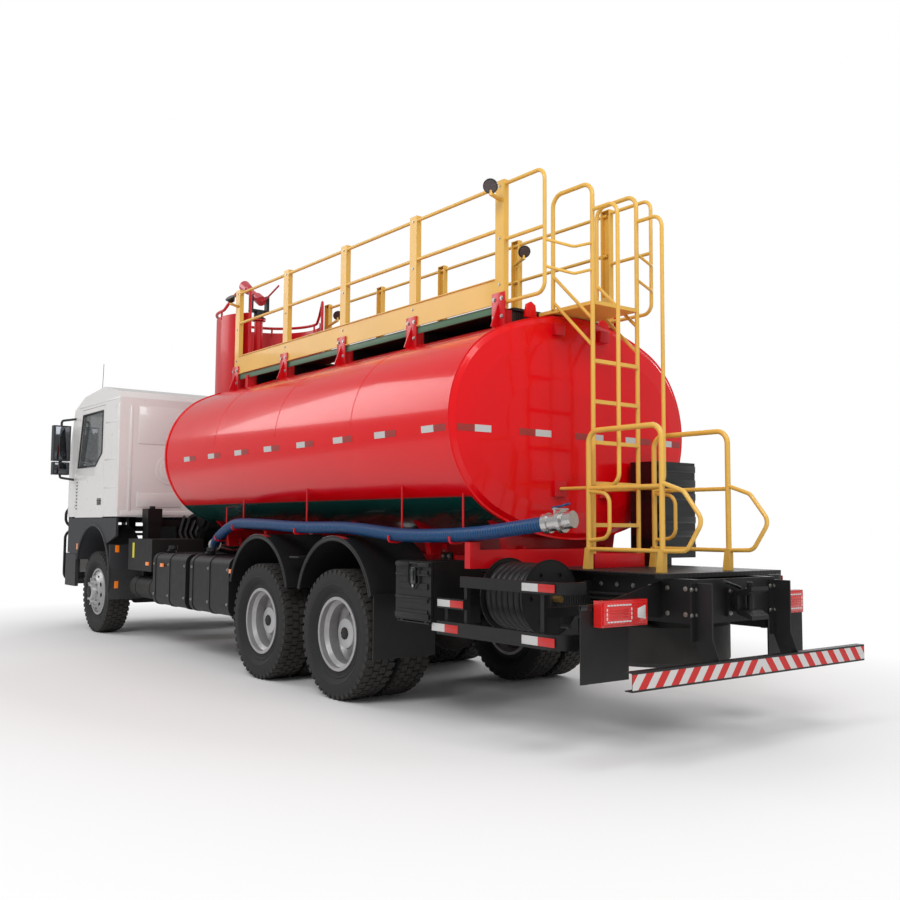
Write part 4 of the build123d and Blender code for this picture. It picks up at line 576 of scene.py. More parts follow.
@dataclass
class Workpiece:
    """One new piece while its mesh is being shaped."""

    name: str
    finish: Finish
    slot: str
    body: str = "chassis"
    mesh: bmesh.types.BMesh = field(default_factory=bmesh.new)

    def block(self, low: Point, high: Point, bevel: float = 0.0, turn: Matrix | None = None) -> None:
        """Adds a block between two corners.

        Args:
            low: One corner.
            high: The opposite corner.
            bevel: Width of its rounded edges.
            turn: A turn or move made after the block is in place.
        """
        low_v, high_v = Vector(map(min, low, high)), Vector(map(max, low, high))
        place = Matrix.Translation((low_v + high_v) / 2) @ Matrix.Diagonal((*(high_v - low_v), 1.0))
        made = bmesh.ops.create_cube(self.mesh, size=1.0, matrix=(turn or Matrix.Identity(4)) @ place)
        self.rounded(made["verts"], bevel)

    def rounded(self, verts: Iterable[bmesh.types.BMVert], bevel: float) -> None:
        """Rounds the edges that meet at some vertices, where bevel isn't zero."""
        if bevel:
            edges = {e for v in verts for e in v.link_edges}
            bmesh.ops.bevel(self.mesh, geom=list(edges), offset=bevel, offset_type="OFFSET", segments=2,
                            profile=0.5, affect="EDGES", material=-1, clamp_overlap=True)

    def pair(self, low: Point, high: Point, bevel: float = 0.0) -> None:
        """Adds a block and its mirror image on the truck's other side."""
        for side in SIDES:
            self.block(mirrored(low, side), mirrored(high, side), bevel)

    def bar(self, start: Point, end: Point, radius: float, sides: int = 16, tip: float | None = None) -> None:
        """Adds a round bar, tapered where tip gives its end's radius."""
        a, b = Vector(start), Vector(end)
        place = Matrix.Translation((a + b) / 2) @ (b - a).to_track_quat("Z", "Y").to_matrix().to_4x4()
        bmesh.ops.create_cone(self.mesh, cap_ends=True, cap_tris=False, segments=sides, radius1=radius,
                              radius2=radius if tip is None else tip, depth=(b - a).length, matrix=place)

    def bolt(self, centre: Point, axis: Axis, way: float = 1.0, radius: float = 0.011, height: float = 0.009) -> None:
        """Adds a hexagon head on a washer, standing out of centre along the axis."""
        foot = Vector(centre)
        self.bar(foot, foot + axis.vector(way * height * 0.3), radius * 1.5, 12)
        self.bar(foot, foot + axis.vector(way * height), radius, 6)

    def bolt_grid(self, xs: Sequence[float], ys: Sequence[float], zs: Sequence[float], axis: Axis, way: float,
                  radius: float, height: float = 0.010) -> None:
        """Adds a bolt at every crossing of the given places."""
        for spot in itertools.product(xs, ys, zs):
            self.bolt(spot, axis, way, radius, height)

    def side_bolts(self, xs: Sequence[float], y: float, zs: Sequence[float], radius: float,
                   height: float = 0.010) -> None:
        """Adds bolts on both sides of the truck, standing outwards from y."""
        for side in SIDES:
            self.bolt_grid(xs, (side * y,), zs, Axis.Y, side, radius, height)

    def loop(self, ring: Sequence[Point], radius: float) -> None:
        """Adds bars round a closed outline."""
        for start, end in zip(ring, [*ring[1:], ring[0]]):
            self.bar(start, end, radius, 8)

    def arch(self, axle: float, y: float, reach: float, first: float, count: int, radius: float, sides: int) -> None:
        """Adds bars along a wheel arch's edge.

        Args:
            axle: The axle's place along X.
            y: The edge's place across the truck.
            reach: The arch's radius.
            first: The first bar's angle above the level, in degrees.
            count: The number of bars, each eight degrees long and a little over.
            radius: The bars' radius.
            sides: The bars' sides.
        """
        for k in range(count):
            ends = [math.radians(first + 8.0 * n) for n in (k, k + 1.06)]
            start, end = ((axle + reach * math.cos(a), y, ARCH_Z + reach * math.sin(a)) for a in ends)
            self.bar(start, end, radius, sides)

    def plate(self, outline: Iterable[Point], along: Vector, bevel: float = 0.0) -> None:
        """Adds a plate: a flat outline carried along a vector."""
        verts = [self.mesh.verts.new(p) for p in outline]
        face = self.mesh.faces.new(verts)
        made = bmesh.ops.extrude_face_region(self.mesh, geom=[face], use_keep_orig=True)["geom"]
        moved = [v for v in made if isinstance(v, bmesh.types.BMVert)]
        bmesh.ops.translate(self.mesh, verts=moved, vec=along)
        self.rounded([*verts, *moved], bevel)

    def turned(self, profile: Sequence[Point], centre: Point, axis: Axis, steps: int = 48,
               closed: bool = False) -> None:
        """Adds a turned shape.

        Args:
            profile: Points of its half section, in the frame.
            centre: A point on the axis.
            axis: The axis it is turned about.
            steps: Sides round the full turn.
            closed: Whether the section closes on itself.
        """
        verts = [self.mesh.verts.new(p) for p in profile]
        pairs = list(zip(verts, verts[1:])) + ([(verts[-1], verts[0])] if closed else [])
        edges = [self.mesh.edges.new(p) for p in pairs]
        bmesh.ops.spin(self.mesh, geom=verts + edges, cent=centre, axis=axis.vector(), angle=2 * math.pi,
                       steps=steps, use_merge=True, use_duplicate=False)

    def pipe(self, points: Sequence[Point], radius: float, corner: float = 0.06) -> None:
        """Adds a bent pipe along points, through a curve that is made a mesh."""
        curve = bpy.data.curves.new("route", "CURVE")
        curve.dimensions = "3D"
        curve.bevel_depth = radius
        curve.bevel_resolution = 3
        curve.use_fill_caps = True
        spline = curve.splines.new("NURBS")
        softened = soften([Vector(p) for p in points], corner)
        spline.points.add(len(softened) - 1)
        for slot, place in zip(spline.points, softened):
            slot.co = (*place, 1.0)
        spline.order_u = 3
        spline.use_endpoint_u = True
        carrier = bpy.data.objects.new("route", curve)
        made = bpy.data.meshes.new_from_object(carrier)
        self.mesh.from_mesh(made)
        bpy.data.objects.remove(carrier)
        bpy.data.meshes.remove(made)

    def done(self, angle: float = 40.0) -> bpy.types.Object:
        """Makes the object, dresses it and sets it riding on its body."""
        bmesh.ops.remove_doubles(self.mesh, verts=self.mesh.verts, dist=1e-6)
        bmesh.ops.recalc_face_normals(self.mesh, faces=self.mesh.faces)
        for edge in self.mesh.edges:
            edge.smooth = edge.calc_face_angle(math.pi) < math.radians(angle)
        for face in self.mesh.faces:
            face.smooth = True
            face.material_index = 0
        data = bpy.data.meshes.new(self.name)
        self.mesh.to_mesh(data)
        self.mesh.free()
        data.materials.clear()
        data.materials.append(self.finish.material())
        made = bpy.data.objects.new(self.name, data)
        bpy.context.scene.collection.objects.link(made)
        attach(made, self.body)
        LOG.info("%s: %d faces on %s", self.name, len(data.polygons), self.body)
        return made


def mirrored(point: Point, side: int) -> Point:
    """The point for the left side, or its mirror image for the right."""
    return (point[0], side * point[1], point[2])


def finished(*pieces: Workpiece) -> None:
    """Makes the objects of several pieces."""
    for piece in pieces:
        piece.done()


def soften(points: list[Vector], corner: float) -> list[Vector]:
    """Adds a point each side of every corner, so a curve through them bends only there."""
    made = [points[0]]
    for before, here, after in zip(points, points[1:], points[2:]):
        for other in (before, after):
            reach = min(corner, (other - here).length * 0.45)
            made.append(here + (other - here).normalized() * reach)
            if other is before:
                made.append(here)
    return [*made, points[-1]]


class Skin:
    """A CAD node's surface, for laying tapes and welds on."""

    def __init__(self, node: bpy.types.Object) -> None:
        """Reads the node's faces."""
        mesh = node.data
        self.tree = BVHTree.FromPolygons([v.co for v in mesh.vertices], [p.vertices for p in mesh.polygons])

    def under(self, start: Vector, way: Vector, out: float) -> Vector | None:
        """The point where a ray from start meets the surface, moved back by out.

        Args:
            start: Where the ray starts.
            way: Its direction.
            out: How far the point is moved back along the ray.

        Returns:
            The point, or None where the ray misses.
        """
        place = self.tree.ray_cast(start, way)[0]
        return None if place is None else place - way.normalized() * out

    def strip(self, piece: Workpiece, starts: Sequence[Vector], across: Vector, way: Vector) -> None:
        """Lays a strip on the surface.

        Args:
            piece: The piece it is added to.
            starts: Points along one edge, off the surface.
            across: From that edge to the other.
            way: The direction in which they are laid on.
        """
        rows = [[self.under(p + across * k / 3, way, 0.0015) for k in range(4)] for p in starts]
        rows = [row for row in rows if all(p is not None for p in row)]
        made = [[piece.mesh.verts.new(p) for p in row] for row in rows]
        faces = [piece.mesh.faces.new((one[k], two[k], two[k + 1], one[k + 1]))
                 for one, two in zip(made, made[1:]) for k in range(3)]
        bmesh.ops.solidify(piece.mesh, geom=faces, thickness=0.0012)


# Wheels


@dataclass
class Tyre:
    """A truck tyre: a turned carcass with ribbed side walls, and rows of tread blocks."""

    half: float = 0.1475
    blocks: int = 44
    rows: int = 4
    groove: float = 0.012

    def add(self, piece: Workpiece, x: float, y: float) -> None:
        """Adds the tyre whose middle is at x and y."""
        floor = WHEEL_R - self.groove
        right = [(0.106, 0.287), (0.106, 0.335), (0.122, 0.352), (0.118, 0.358), (0.134, 0.378), (0.1462, 0.402),
                 (0.1435, 0.408), (0.1455, 0.416), (0.142, 0.455), (0.139, 0.485), (0.132, floor - 0.010),
                 (0.118, floor)]
        section = [*right, *[(-u, v) for u, v in reversed(right)]]
        piece.turned([(x, y + u, WHEEL_R + v) for u, v in section], (x, y, WHEEL_R), Axis.Y, 72, closed=True)
        self.tread(piece, x, y, floor)

    def tread(self, piece: Workpiece, x: float, y: float, floor: float) -> None:
        """Adds the rows of blocks and the shoulder lugs."""
        width = 0.25 / self.rows
        step = 2 * math.pi / self.blocks
        arc = 2 * math.pi * WHEEL_R / self.blocks
        for row in range(self.rows):
            middle = y + (row - (self.rows - 1) / 2) * width
            for k in range(self.blocks):
                turn = Matrix.Translation((x, 0, WHEEL_R)) @ Matrix.Rotation((k + 0.5 * (row % 2)) * step, 4, "Y")
                slant = Matrix.Rotation(0.16 if row % 2 else -0.16, 4, "Z")
                place = turn @ Matrix.Translation((0, middle, 0)) @ slant
                piece.block((-arc * 0.40, -width * 0.43, floor - 0.006), (arc * 0.40, width * 0.43, WHEEL_R - 0.0015),
                            0.0, place)
        for k in range(self.blocks):
            turn = Matrix.Translation((x, y, WHEEL_R)) @ Matrix.Rotation(k * step, 4, "Y")
            for side in SIDES:
                piece.block((-arc * 0.28, side * 0.118, 0.468), (arc * 0.28, side * 0.1405, floor + 0.004), 0.0, turn)


@dataclass
class Wheels:
    """All tyres with their tread, and the small parts on the rims."""

    front_y: float = 1.020
    outer_y: float = 1.085
    inner_y: float = 0.750
    tyre: Tyre = field(default_factory=Tyre)

    def build(self) -> None:
        """Makes the tyres and hubs of every wheel."""
        for name, side in (("left", 1), ("right", -1)):
            self.tyres(f"front_{name}", FRONT_AXLE, (side * self.front_y,), f"front_{name}_tyre")
            self.hub_cap(f"front_{name}", FRONT_AXLE, side * 1.243, side, 0.075)
            for axle, x in (("middle", MIDDLE_AXLE), ("rear", REAR_AXLE)):
                self.tyres(f"{axle}_{name}", x, (side * self.outer_y, side * self.inner_y), f"{axle}_{name}_tyres")
                self.hub_cap(f"{axle}_{name}", x, side * 1.1215, side, 0.05)

    def tyres(self, wheel: str, x: float, ys: Sequence[float], node: str) -> None:
        """Makes one wheel's tyres, which stand for the CAD ones."""
        rubber = TyreRubber(f"tyre_rubber_{x:.2f}", (0.021, 0.021, 0.022), 0.72, grain=500.0, axle_x=x)
        piece = Workpiece(f"{wheel}_treaded", rubber, "tyre_rubber", f"{wheel}_wheel")
        for y in ys:
            self.tyre.add(piece, x, y)
        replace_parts(piece.done(32.0), node)

    def hub_cap(self, wheel: str, x: float, y: float, side: int, radius: float) -> None:
        """Makes the hub's end plate with its ring of bolts."""
        piece = Workpiece(f"{wheel}_hub_cap", GREASY, "chassis_black", f"{wheel}_wheel")
        profile = [(0.0, 0.012), (radius * 0.55, 0.012), (radius * 0.7, 0.008), (radius, 0.006), (radius, -0.004)]
        piece.turned([(x, y + side * h, WHEEL_R + r) for r, h in profile], (x, y, WHEEL_R), Axis.Y, 32)
        for k in range(8):
            angle = k * math.pi / 4
            spot = (x + radius * 0.82 * math.sin(angle), y + side * 0.005, WHEEL_R + radius * 0.82 * math.cos(angle))
            piece.bolt(spot, Axis.Y, side, 0.006, 0.006)
        piece.done()


# Tank


@dataclass
class TankDressing:
    """Tapes, brackets and fittings on the tank."""

    skin: Skin
    tape_z: float = 2.075
    tape_height: float = 0.05
    tape_half: float = 0.148
    tape_pitch: float = 0.6205
    reach: float = 1.3

    def build(self) -> None:
        """Makes each group of fittings."""
        self.tapes()
        self.brackets()
        self.bands()
        self.fittings()
        self.saddle_feet()

    def tapes(self) -> None:
        """Reflective tapes in a row along each side and across both heads."""
        red = Workpiece("tank_tapes_red", TAPE_RED, "bumper_stripes")
        white = Workpiece("tank_tapes_white", TAPE_WHITE, "bumper_stripes")
        across = Vector((0.0, 0.0, self.tape_height))
        for side in SIDES:
            for k in range(8):
                rear = -3.722 + self.tape_pitch * k
                for piece, x in ((red, rear), (white, rear + self.tape_half)):
                    row = [Vector((x + self.tape_half * n / 4, side * 2.0, self.tape_z)) for n in range(5)]
                    self.skin.strip(piece, row, across, Vector((0.0, -side, 0.0)))
        spans = ((1.195, 0.905, True), (0.643, 0.325, True), (0.074, -0.235, True), (-0.490, -0.790, False),
                 (-0.950, -1.195, False))
        for x, way in ((-6.0, 1.0), (3.0, -1.0)):
            for high, low, red_first in spans:
                middle = high + (low - high) / 2
                for y0, y1, reddish in ((high, middle, red_first), (middle, low, not red_first)):
                    row = [Vector((x, y0 + (y1 - y0) * n / 5, self.tape_z)) for n in range(6)]
                    self.skin.strip(red if reddish else white, row, across, Vector((way, 0.0, 0.0)))
        finished(red, white)

    def brackets(self) -> None:
        """Red bolted brackets that hold the railing's posts to the tank's crown."""
        plates = Workpiece("railing_brackets", FRAME_RED, "frame_red")
        bolts = Workpiece("railing_bracket_bolts", ZINC, "stainless")
        for x in POST_XS:
            plates.pair((x - 0.075, 0.607, 2.925), (x + 0.075, 0.619, 3.185), 0.003)
            for side in SIDES:
                gusset = [(x - 0.006, 0.619, 3.10), (x - 0.006, 0.69, 2.915), (x - 0.006, 0.619, 2.915)]
                plates.plate([mirrored(p, side) for p in gusset], Vector((0.012, 0, 0)))
            bolts.side_bolts((x - 0.045, x + 0.045), 0.619, (2.995, 3.135), 0.012, 0.011)
        finished(plates, bolts)

    def bands(self) -> None:
        """Weld beads where the shell's rolled sheets meet."""
        beads = Workpiece("shell_welds", RED, "tank_red")
        for sheet in range(1, 4):
            centre = Vector((TANK_REAR + sheet * RED.seam_pitch, 0.0, TANK_Z))
            ring = []
            for k in range(-34, 35):
                angle = math.radians(2.6 * k)
                way = Vector((0.0, -math.sin(angle), -math.cos(angle)))
                place = self.skin.under(centre - way * 3.0, way, -0.0015)
                if place is not None and (centre - place).length < self.reach:
                    ring.append(tuple(place))
            for a, b in zip(ring, ring[1:]):
                beads.bar(a, b, 0.0045, 6)
        beads.done()

    def fittings(self) -> None:
        """Lifting eyes, ladder pads and the blank panel behind the tank."""
        eyes = Workpiece("lifting_eyes", RED, "tank_red")
        for x in (TANK_REAR + 0.09, TANK_FRONT - 0.12):
            for y in (0.40, -0.40):
                outline = ((-0.06, 3.0), (-0.045, 3.10), (0.0, 3.125), (0.045, 3.10), (0.06, 3.0))
                eyes.plate([(x - 0.012, y + dy, z) for dy, z in outline], Vector((0.024, 0, 0)), 0.003)
        pads = Workpiece("ladder_pads", FRAME_RED, "frame_red")
        pads.pair((TANK_REAR - 0.078, 0.18, 1.63), (TANK_REAR - 0.048, 0.30, 1.75), 0.003)
        pads.pair((TANK_REAR - 0.078, 0.19, 2.86), (TANK_REAR - 0.020, 0.29, 2.95), 0.003)
        panel = Workpiece("blank_panel", FRAME_RED, "frame_red")
        panel.block((-4.205, -0.265, DECK_Z + 0.002), (-4.19, 0.265, DECK_Z + 0.105), 0.003)
        finished(eyes, pads, panel)

    def saddle_feet(self) -> None:
        """Bolted feet and hanger plates where the tank's brackets meet the frame."""
        feet = Workpiece("saddle_feet", FRAME_RED, "frame_red")
        plates = Workpiece("hanger_plates", BLACK, "chassis_black")
        bolts = Workpiece("saddle_bolts", ZINC, "stainless")
        for x in (TANK_REAR + 0.195 + k * 0.962 for k in range(6)):
            feet.pair((x - 0.09, RAIL_FACE, 0.96), (x + 0.09, 0.445, 1.26), 0.003)
            bolts.side_bolts((x - 0.055, x + 0.055), 0.445, (1.00, 1.045, 1.20), 0.012, 0.012)
        for x in (-3.085, -2.765):
            plates.pair((x, RAIL_FACE, 0.95), (x + 0.15, 0.452, 1.19), 0.003)
            bolts.side_bolts((x + 0.035, x + 0.115), 0.452, (0.985, 1.035, 1.12, 1.16), 0.011)
        finished(feet, plates, bolts)


# Railings and ladder


@dataclass
class RailingDressing:
    """Strips, lamps and rails on the roof railings and the basket."""

    roll_r: float = 0.045
    roll_y: float = -0.506
    roll_z: float = 3.600

    def build(self) -> None:
        """Makes the details of both railings."""
        strip = Workpiece("toe_board_reflection_strip", GREEN_REFLECTION_STRIP, "tank_red")
        bolts = Workpiece("railing_bolts", ZINC, "stainless")
        lips = Workpiece("toe_board_lips", YELLOW, "rail_yellow")
        first, last = POST_XS[0], POST_XS[-1]
        for z in (WALK_Z + 0.018, WALK_Z + 0.216):
            lips.pair((first + 0.05, 0.603, z), (last - 0.05, 0.617, z + 0.006))
        bolts.side_bolts(POST_XS, 0.6055, [WALK_Z + up for up in (0.06, 0.17, 0.53, 0.94)], 0.008, 0.007)
        # The green strip under the toe boards is a painted reflection in a shaded gap.
        strip.pair((first, 0.585, 3.035), (last, 0.597, 3.095), 0.002)
        finished(strip, bolts, lips)
        self.lamps()
        self.roll()
        self.basket_rail()

    def lamps(self) -> None:
        """Round work lamps on short yellow arms beside the posts."""
        shells = Workpiece("work_lamps", CASE_BLACK, "case_black")
        faces = Workpiece("work_lamp_lenses", LAMP_DARK, "lamp_clear")
        arms = Workpiece("work_lamp_arms", YELLOW, "rail_yellow")
        spots = ((-3.600, 0.745, 3.975, -3.540, 0.600, (-0.5, 0.7, -0.5)),
                 (-2.620, -0.470, 3.900, -2.393, -0.560, (-0.8, 0.3, -0.5)),
                 (0.965, 0.735, 3.940, 1.048, 0.600, (-0.2, 0.6, 0.75)),
                 (0.640, -0.470, 3.860, 1.000, -0.560, (-0.7, 0.2, -0.6)))
        for x, y, z, post_x, post_y, aim in spots:
            way = Vector(aim).normalized()
            centre = Vector((x, y, z))
            shells.bar(centre - way * 0.045, centre, 0.030, 20, 0.055)
            shells.bar(centre, centre + way * 0.012, 0.058, 24)
            faces.bar(centre + way * 0.012, centre + way * 0.016, 0.050, 24)
            arms.bar((post_x, post_y, z - 0.06), (x, y, z - 0.06), 0.016, 8)
            arms.bar((x, y, z - 0.072), centre - way * 0.02, 0.010, 10)
        finished(shells, faces, arms)

    def roll(self) -> None:
        """The long dark roll held inside the right railing by straps."""
        roll = Workpiece("railing_roll", SOFT_BLACK, "case_black")
        outline = ((-2.02, 0.0), (-2.02, 0.032), (-1.98, self.roll_r), (-0.95, self.roll_r), (-0.94, 0.038),
                   (0.24, 0.038), (0.27, 0.028), (0.27, 0.0))
        middle = (0.0, self.roll_y, self.roll_z)
        roll.turned([(x, self.roll_y, self.roll_z + r) for x, r in outline], middle, Axis.X, 24)
        roll.done()
        straps = Workpiece("railing_roll_straps", ZINC, "stainless")
        for x in (-1.246, -0.099):
            outline = ((-0.02, 0.0475), (0.02, 0.0475), (0.02, 0.043), (-0.02, 0.043))
            ring = [(x + dx, self.roll_y, self.roll_z + r) for dx, r in outline]
            straps.turned(ring, (x, self.roll_y, self.roll_z), Axis.X, 24, True)
            straps.block((x - 0.02, -0.560, self.roll_z - 0.01), (x + 0.02, -0.545, self.roll_z + 0.01), 0.002)
        straps.done()

    def basket_rail(self) -> None:
        """Red hand rail round the basket, raised to two hoops at its rear."""
        rail = Workpiece("basket_rail", FRAME_RED, "frame_red")
        angles = [math.radians(a) for a in range(0, 91, 6)]
        route = [*((BASKET_X + BASKET_R * math.cos(a), BASKET_R * math.sin(a), 3.890) for a in angles),
                 (1.385, 0.617, 3.895), (1.290, 0.595, 3.97), (1.18, 0.56, 4.065), (1.003, 0.470, 4.080),
                 (1.003, 0.470, 3.10)]
        for side in SIDES:
            rail.pipe([mirrored(p, side) for p in route], 0.017, 0.03)
        rail.done()


# Cab


@dataclass
class CabDressing:
    """Panels, trims, markers and mirrors of the cab."""

    rear: float = 3.040
    half: float = 1.220

    def build(self) -> None:
        """Makes each group of cab details."""
        self.back_wall()
        self.side_trims()
        self.roof()
        self.arches()
        self.mirror_faces()
        self.front()

    def back_wall(self) -> None:
        """Stamped panels, round bosses and the lower rail of the rear wall."""
        piece = Workpiece("back_wall_stampings", WHITE, "cab_white")
        x, skin = self.rear, self.rear + 0.004
        piece.block((x - 0.010, -0.30, 2.42), (skin, 0.30, 2.90), 0.009)
        piece.pair((x - 0.010, 0.40, 2.42), (skin, 0.98, 2.90), 0.009)
        piece.pair((x - 0.010, 0.40, 1.62), (skin, 0.98, 1.80), 0.009)
        for y in (-0.55, 0.0, 0.55):
            for radius, height in ((0.20, 0.008), (0.15, 0.014)):
                piece.bar((skin, y, 2.10), (x - height, y, 2.10), radius, 40, radius - 0.008)
        piece.pair((x - 0.014, 1.06, 1.56), (skin, 1.10, 2.90), 0.009)
        piece.block((x - 0.012, -1.18, 1.515), (skin, 1.18, 1.575), 0.008)
        piece.done()

    def side_trims(self) -> None:
        """Pressed lines behind the door, handles, rubbers and the little grille at the door's front."""
        body = Workpiece("cab_side_pressings", WHITE, "cab_white")
        y = self.half
        for z in (1.86, 2.22, 2.70):
            body.pair((3.13, y - 0.004, z), (3.57, y + 0.006, z + 0.016), 0.005)
        body.pair((3.07, y - 0.006, 1.53), (3.10, y + 0.008, 2.93), 0.008)
        body.done()
        outline = ((3.685, 2.330), (3.680, 2.880), (4.495, 2.880), (4.665, 2.170), (3.940, 2.165))
        for name, side in (("left", 1), ("right", -1)):
            door = Workpiece(f"{name}_door_trims", CASE_BLACK, "case_black", f"{name}_door")
            door.loop([(px, side * (y + 0.001), pz) for px, pz in outline], 0.011)
            blocks = [((4.665, y, 1.60 + 0.045 * k), (4.715, y + 0.003, 1.62 + 0.045 * k), 0.001) for k in range(9)]
            blocks += [((3.665, y - 0.016, 1.655), (3.845, y - 0.006, 1.735), 0.006),
                       ((3.685, y - 0.006, 1.70), (3.825, y + 0.010, 1.722), 0.006)]
            for low, high, bevel in blocks:
                door.block(mirrored(low, side), mirrored(high, side), bevel)
            door.done()

    def roof(self) -> None:
        """Gutters, the roof's ribbed deflector strip and the aerial."""
        white = Workpiece("roof_ribs", WHITE, "cab_white")
        for y in (-0.70, -0.35, 0.0, 0.35, 0.70):
            white.block((3.72, y - 0.05, 3.175), (4.38, y + 0.05, 3.192), 0.012)
        white.pair((3.08, 1.190, 2.985), (4.70, 1.226, 3.004), 0.006)
        dark = Workpiece("roof_fittings", CASE_BLACK, "case_black")
        dark.block((4.36, -1.10, 3.06), (4.52, 1.10, 3.20), 0.02)
        for y in (-1.0 + 2.0 * k / 11 for k in range(12)):
            dark.block((4.34, y - 0.01, 3.10), (4.37, y + 0.01, 3.19), 0.003)
        dark.bar((4.60, 0.95, 3.05), (4.60, 0.95, 3.12), 0.016, 14)
        dark.bar((4.60, 0.95, 3.12), (4.50, 0.97, 3.62), 0.0035, 8)
        finished(white, dark)

    def arches(self) -> None:
        """Front arch lips, rear flaps, markers and step treads."""
        lips = Workpiece("front_arch_lips", GREY_PLASTIC, "cab_grey")
        marks = Workpiece("side_markers", AMBER, "lamp_red")
        for side in SIDES:
            lips.arch(FRONT_AXLE, side * self.half, 0.672, 18.0, 22, 0.016, 10)
        lips.pair((3.275, 0.90, 0.46), (3.305, 1.218, 1.15), 0.008)
        lips.pair((4.66, 0.97, 0.650), (4.88, 1.17, 0.656), 0.001)
        for z in (0.60, 1.05):
            marks.pair((3.262, 1.10, z), (3.276, 1.15, z + 0.09), 0.003)
        marks.pair((4.55, self.half, 1.06), (4.60, self.half + 0.008, 1.14), 0.003)
        for x in (-0.24, 1.55, 2.0):
            marks.pair((x, 1.186, 0.93), (x + 0.09, 1.200, 0.97), 0.003)
        finished(lips, marks)

    def mirror_faces(self) -> None:
        """The silvered faces of both mirrors, seen from the rear."""
        piece = Workpiece("mirror_faces", MIRROR, "lamp_clear")
        piece.pair((4.836, 1.297, 2.288), (4.842, 1.493, 2.742), 0.002)
        piece.pair((4.841, 1.301, 2.094), (4.847, 1.489, 2.242), 0.002)
        piece.done()

    def front(self) -> None:
        """Wipers and a plain plate on the bumper."""
        dark = Workpiece("front_fittings", CASE_BLACK, "case_black")
        for y in (-0.62, 0.05, 0.62):
            dark.bar((5.235, y, 1.985), (5.205, y + 0.30, 2.34), 0.010, 8)
            dark.bar((5.222, y + 0.02, 2.06), (5.185, y + 0.48, 2.30), 0.008, 8)
        pale = Workpiece("blank_front_plate", WHITE, "cab_white")
        pale.block((5.281, -0.26, 0.80), (5.287, 0.26, 0.91), 0.002)
        finished(dark, pale)


# Chassis


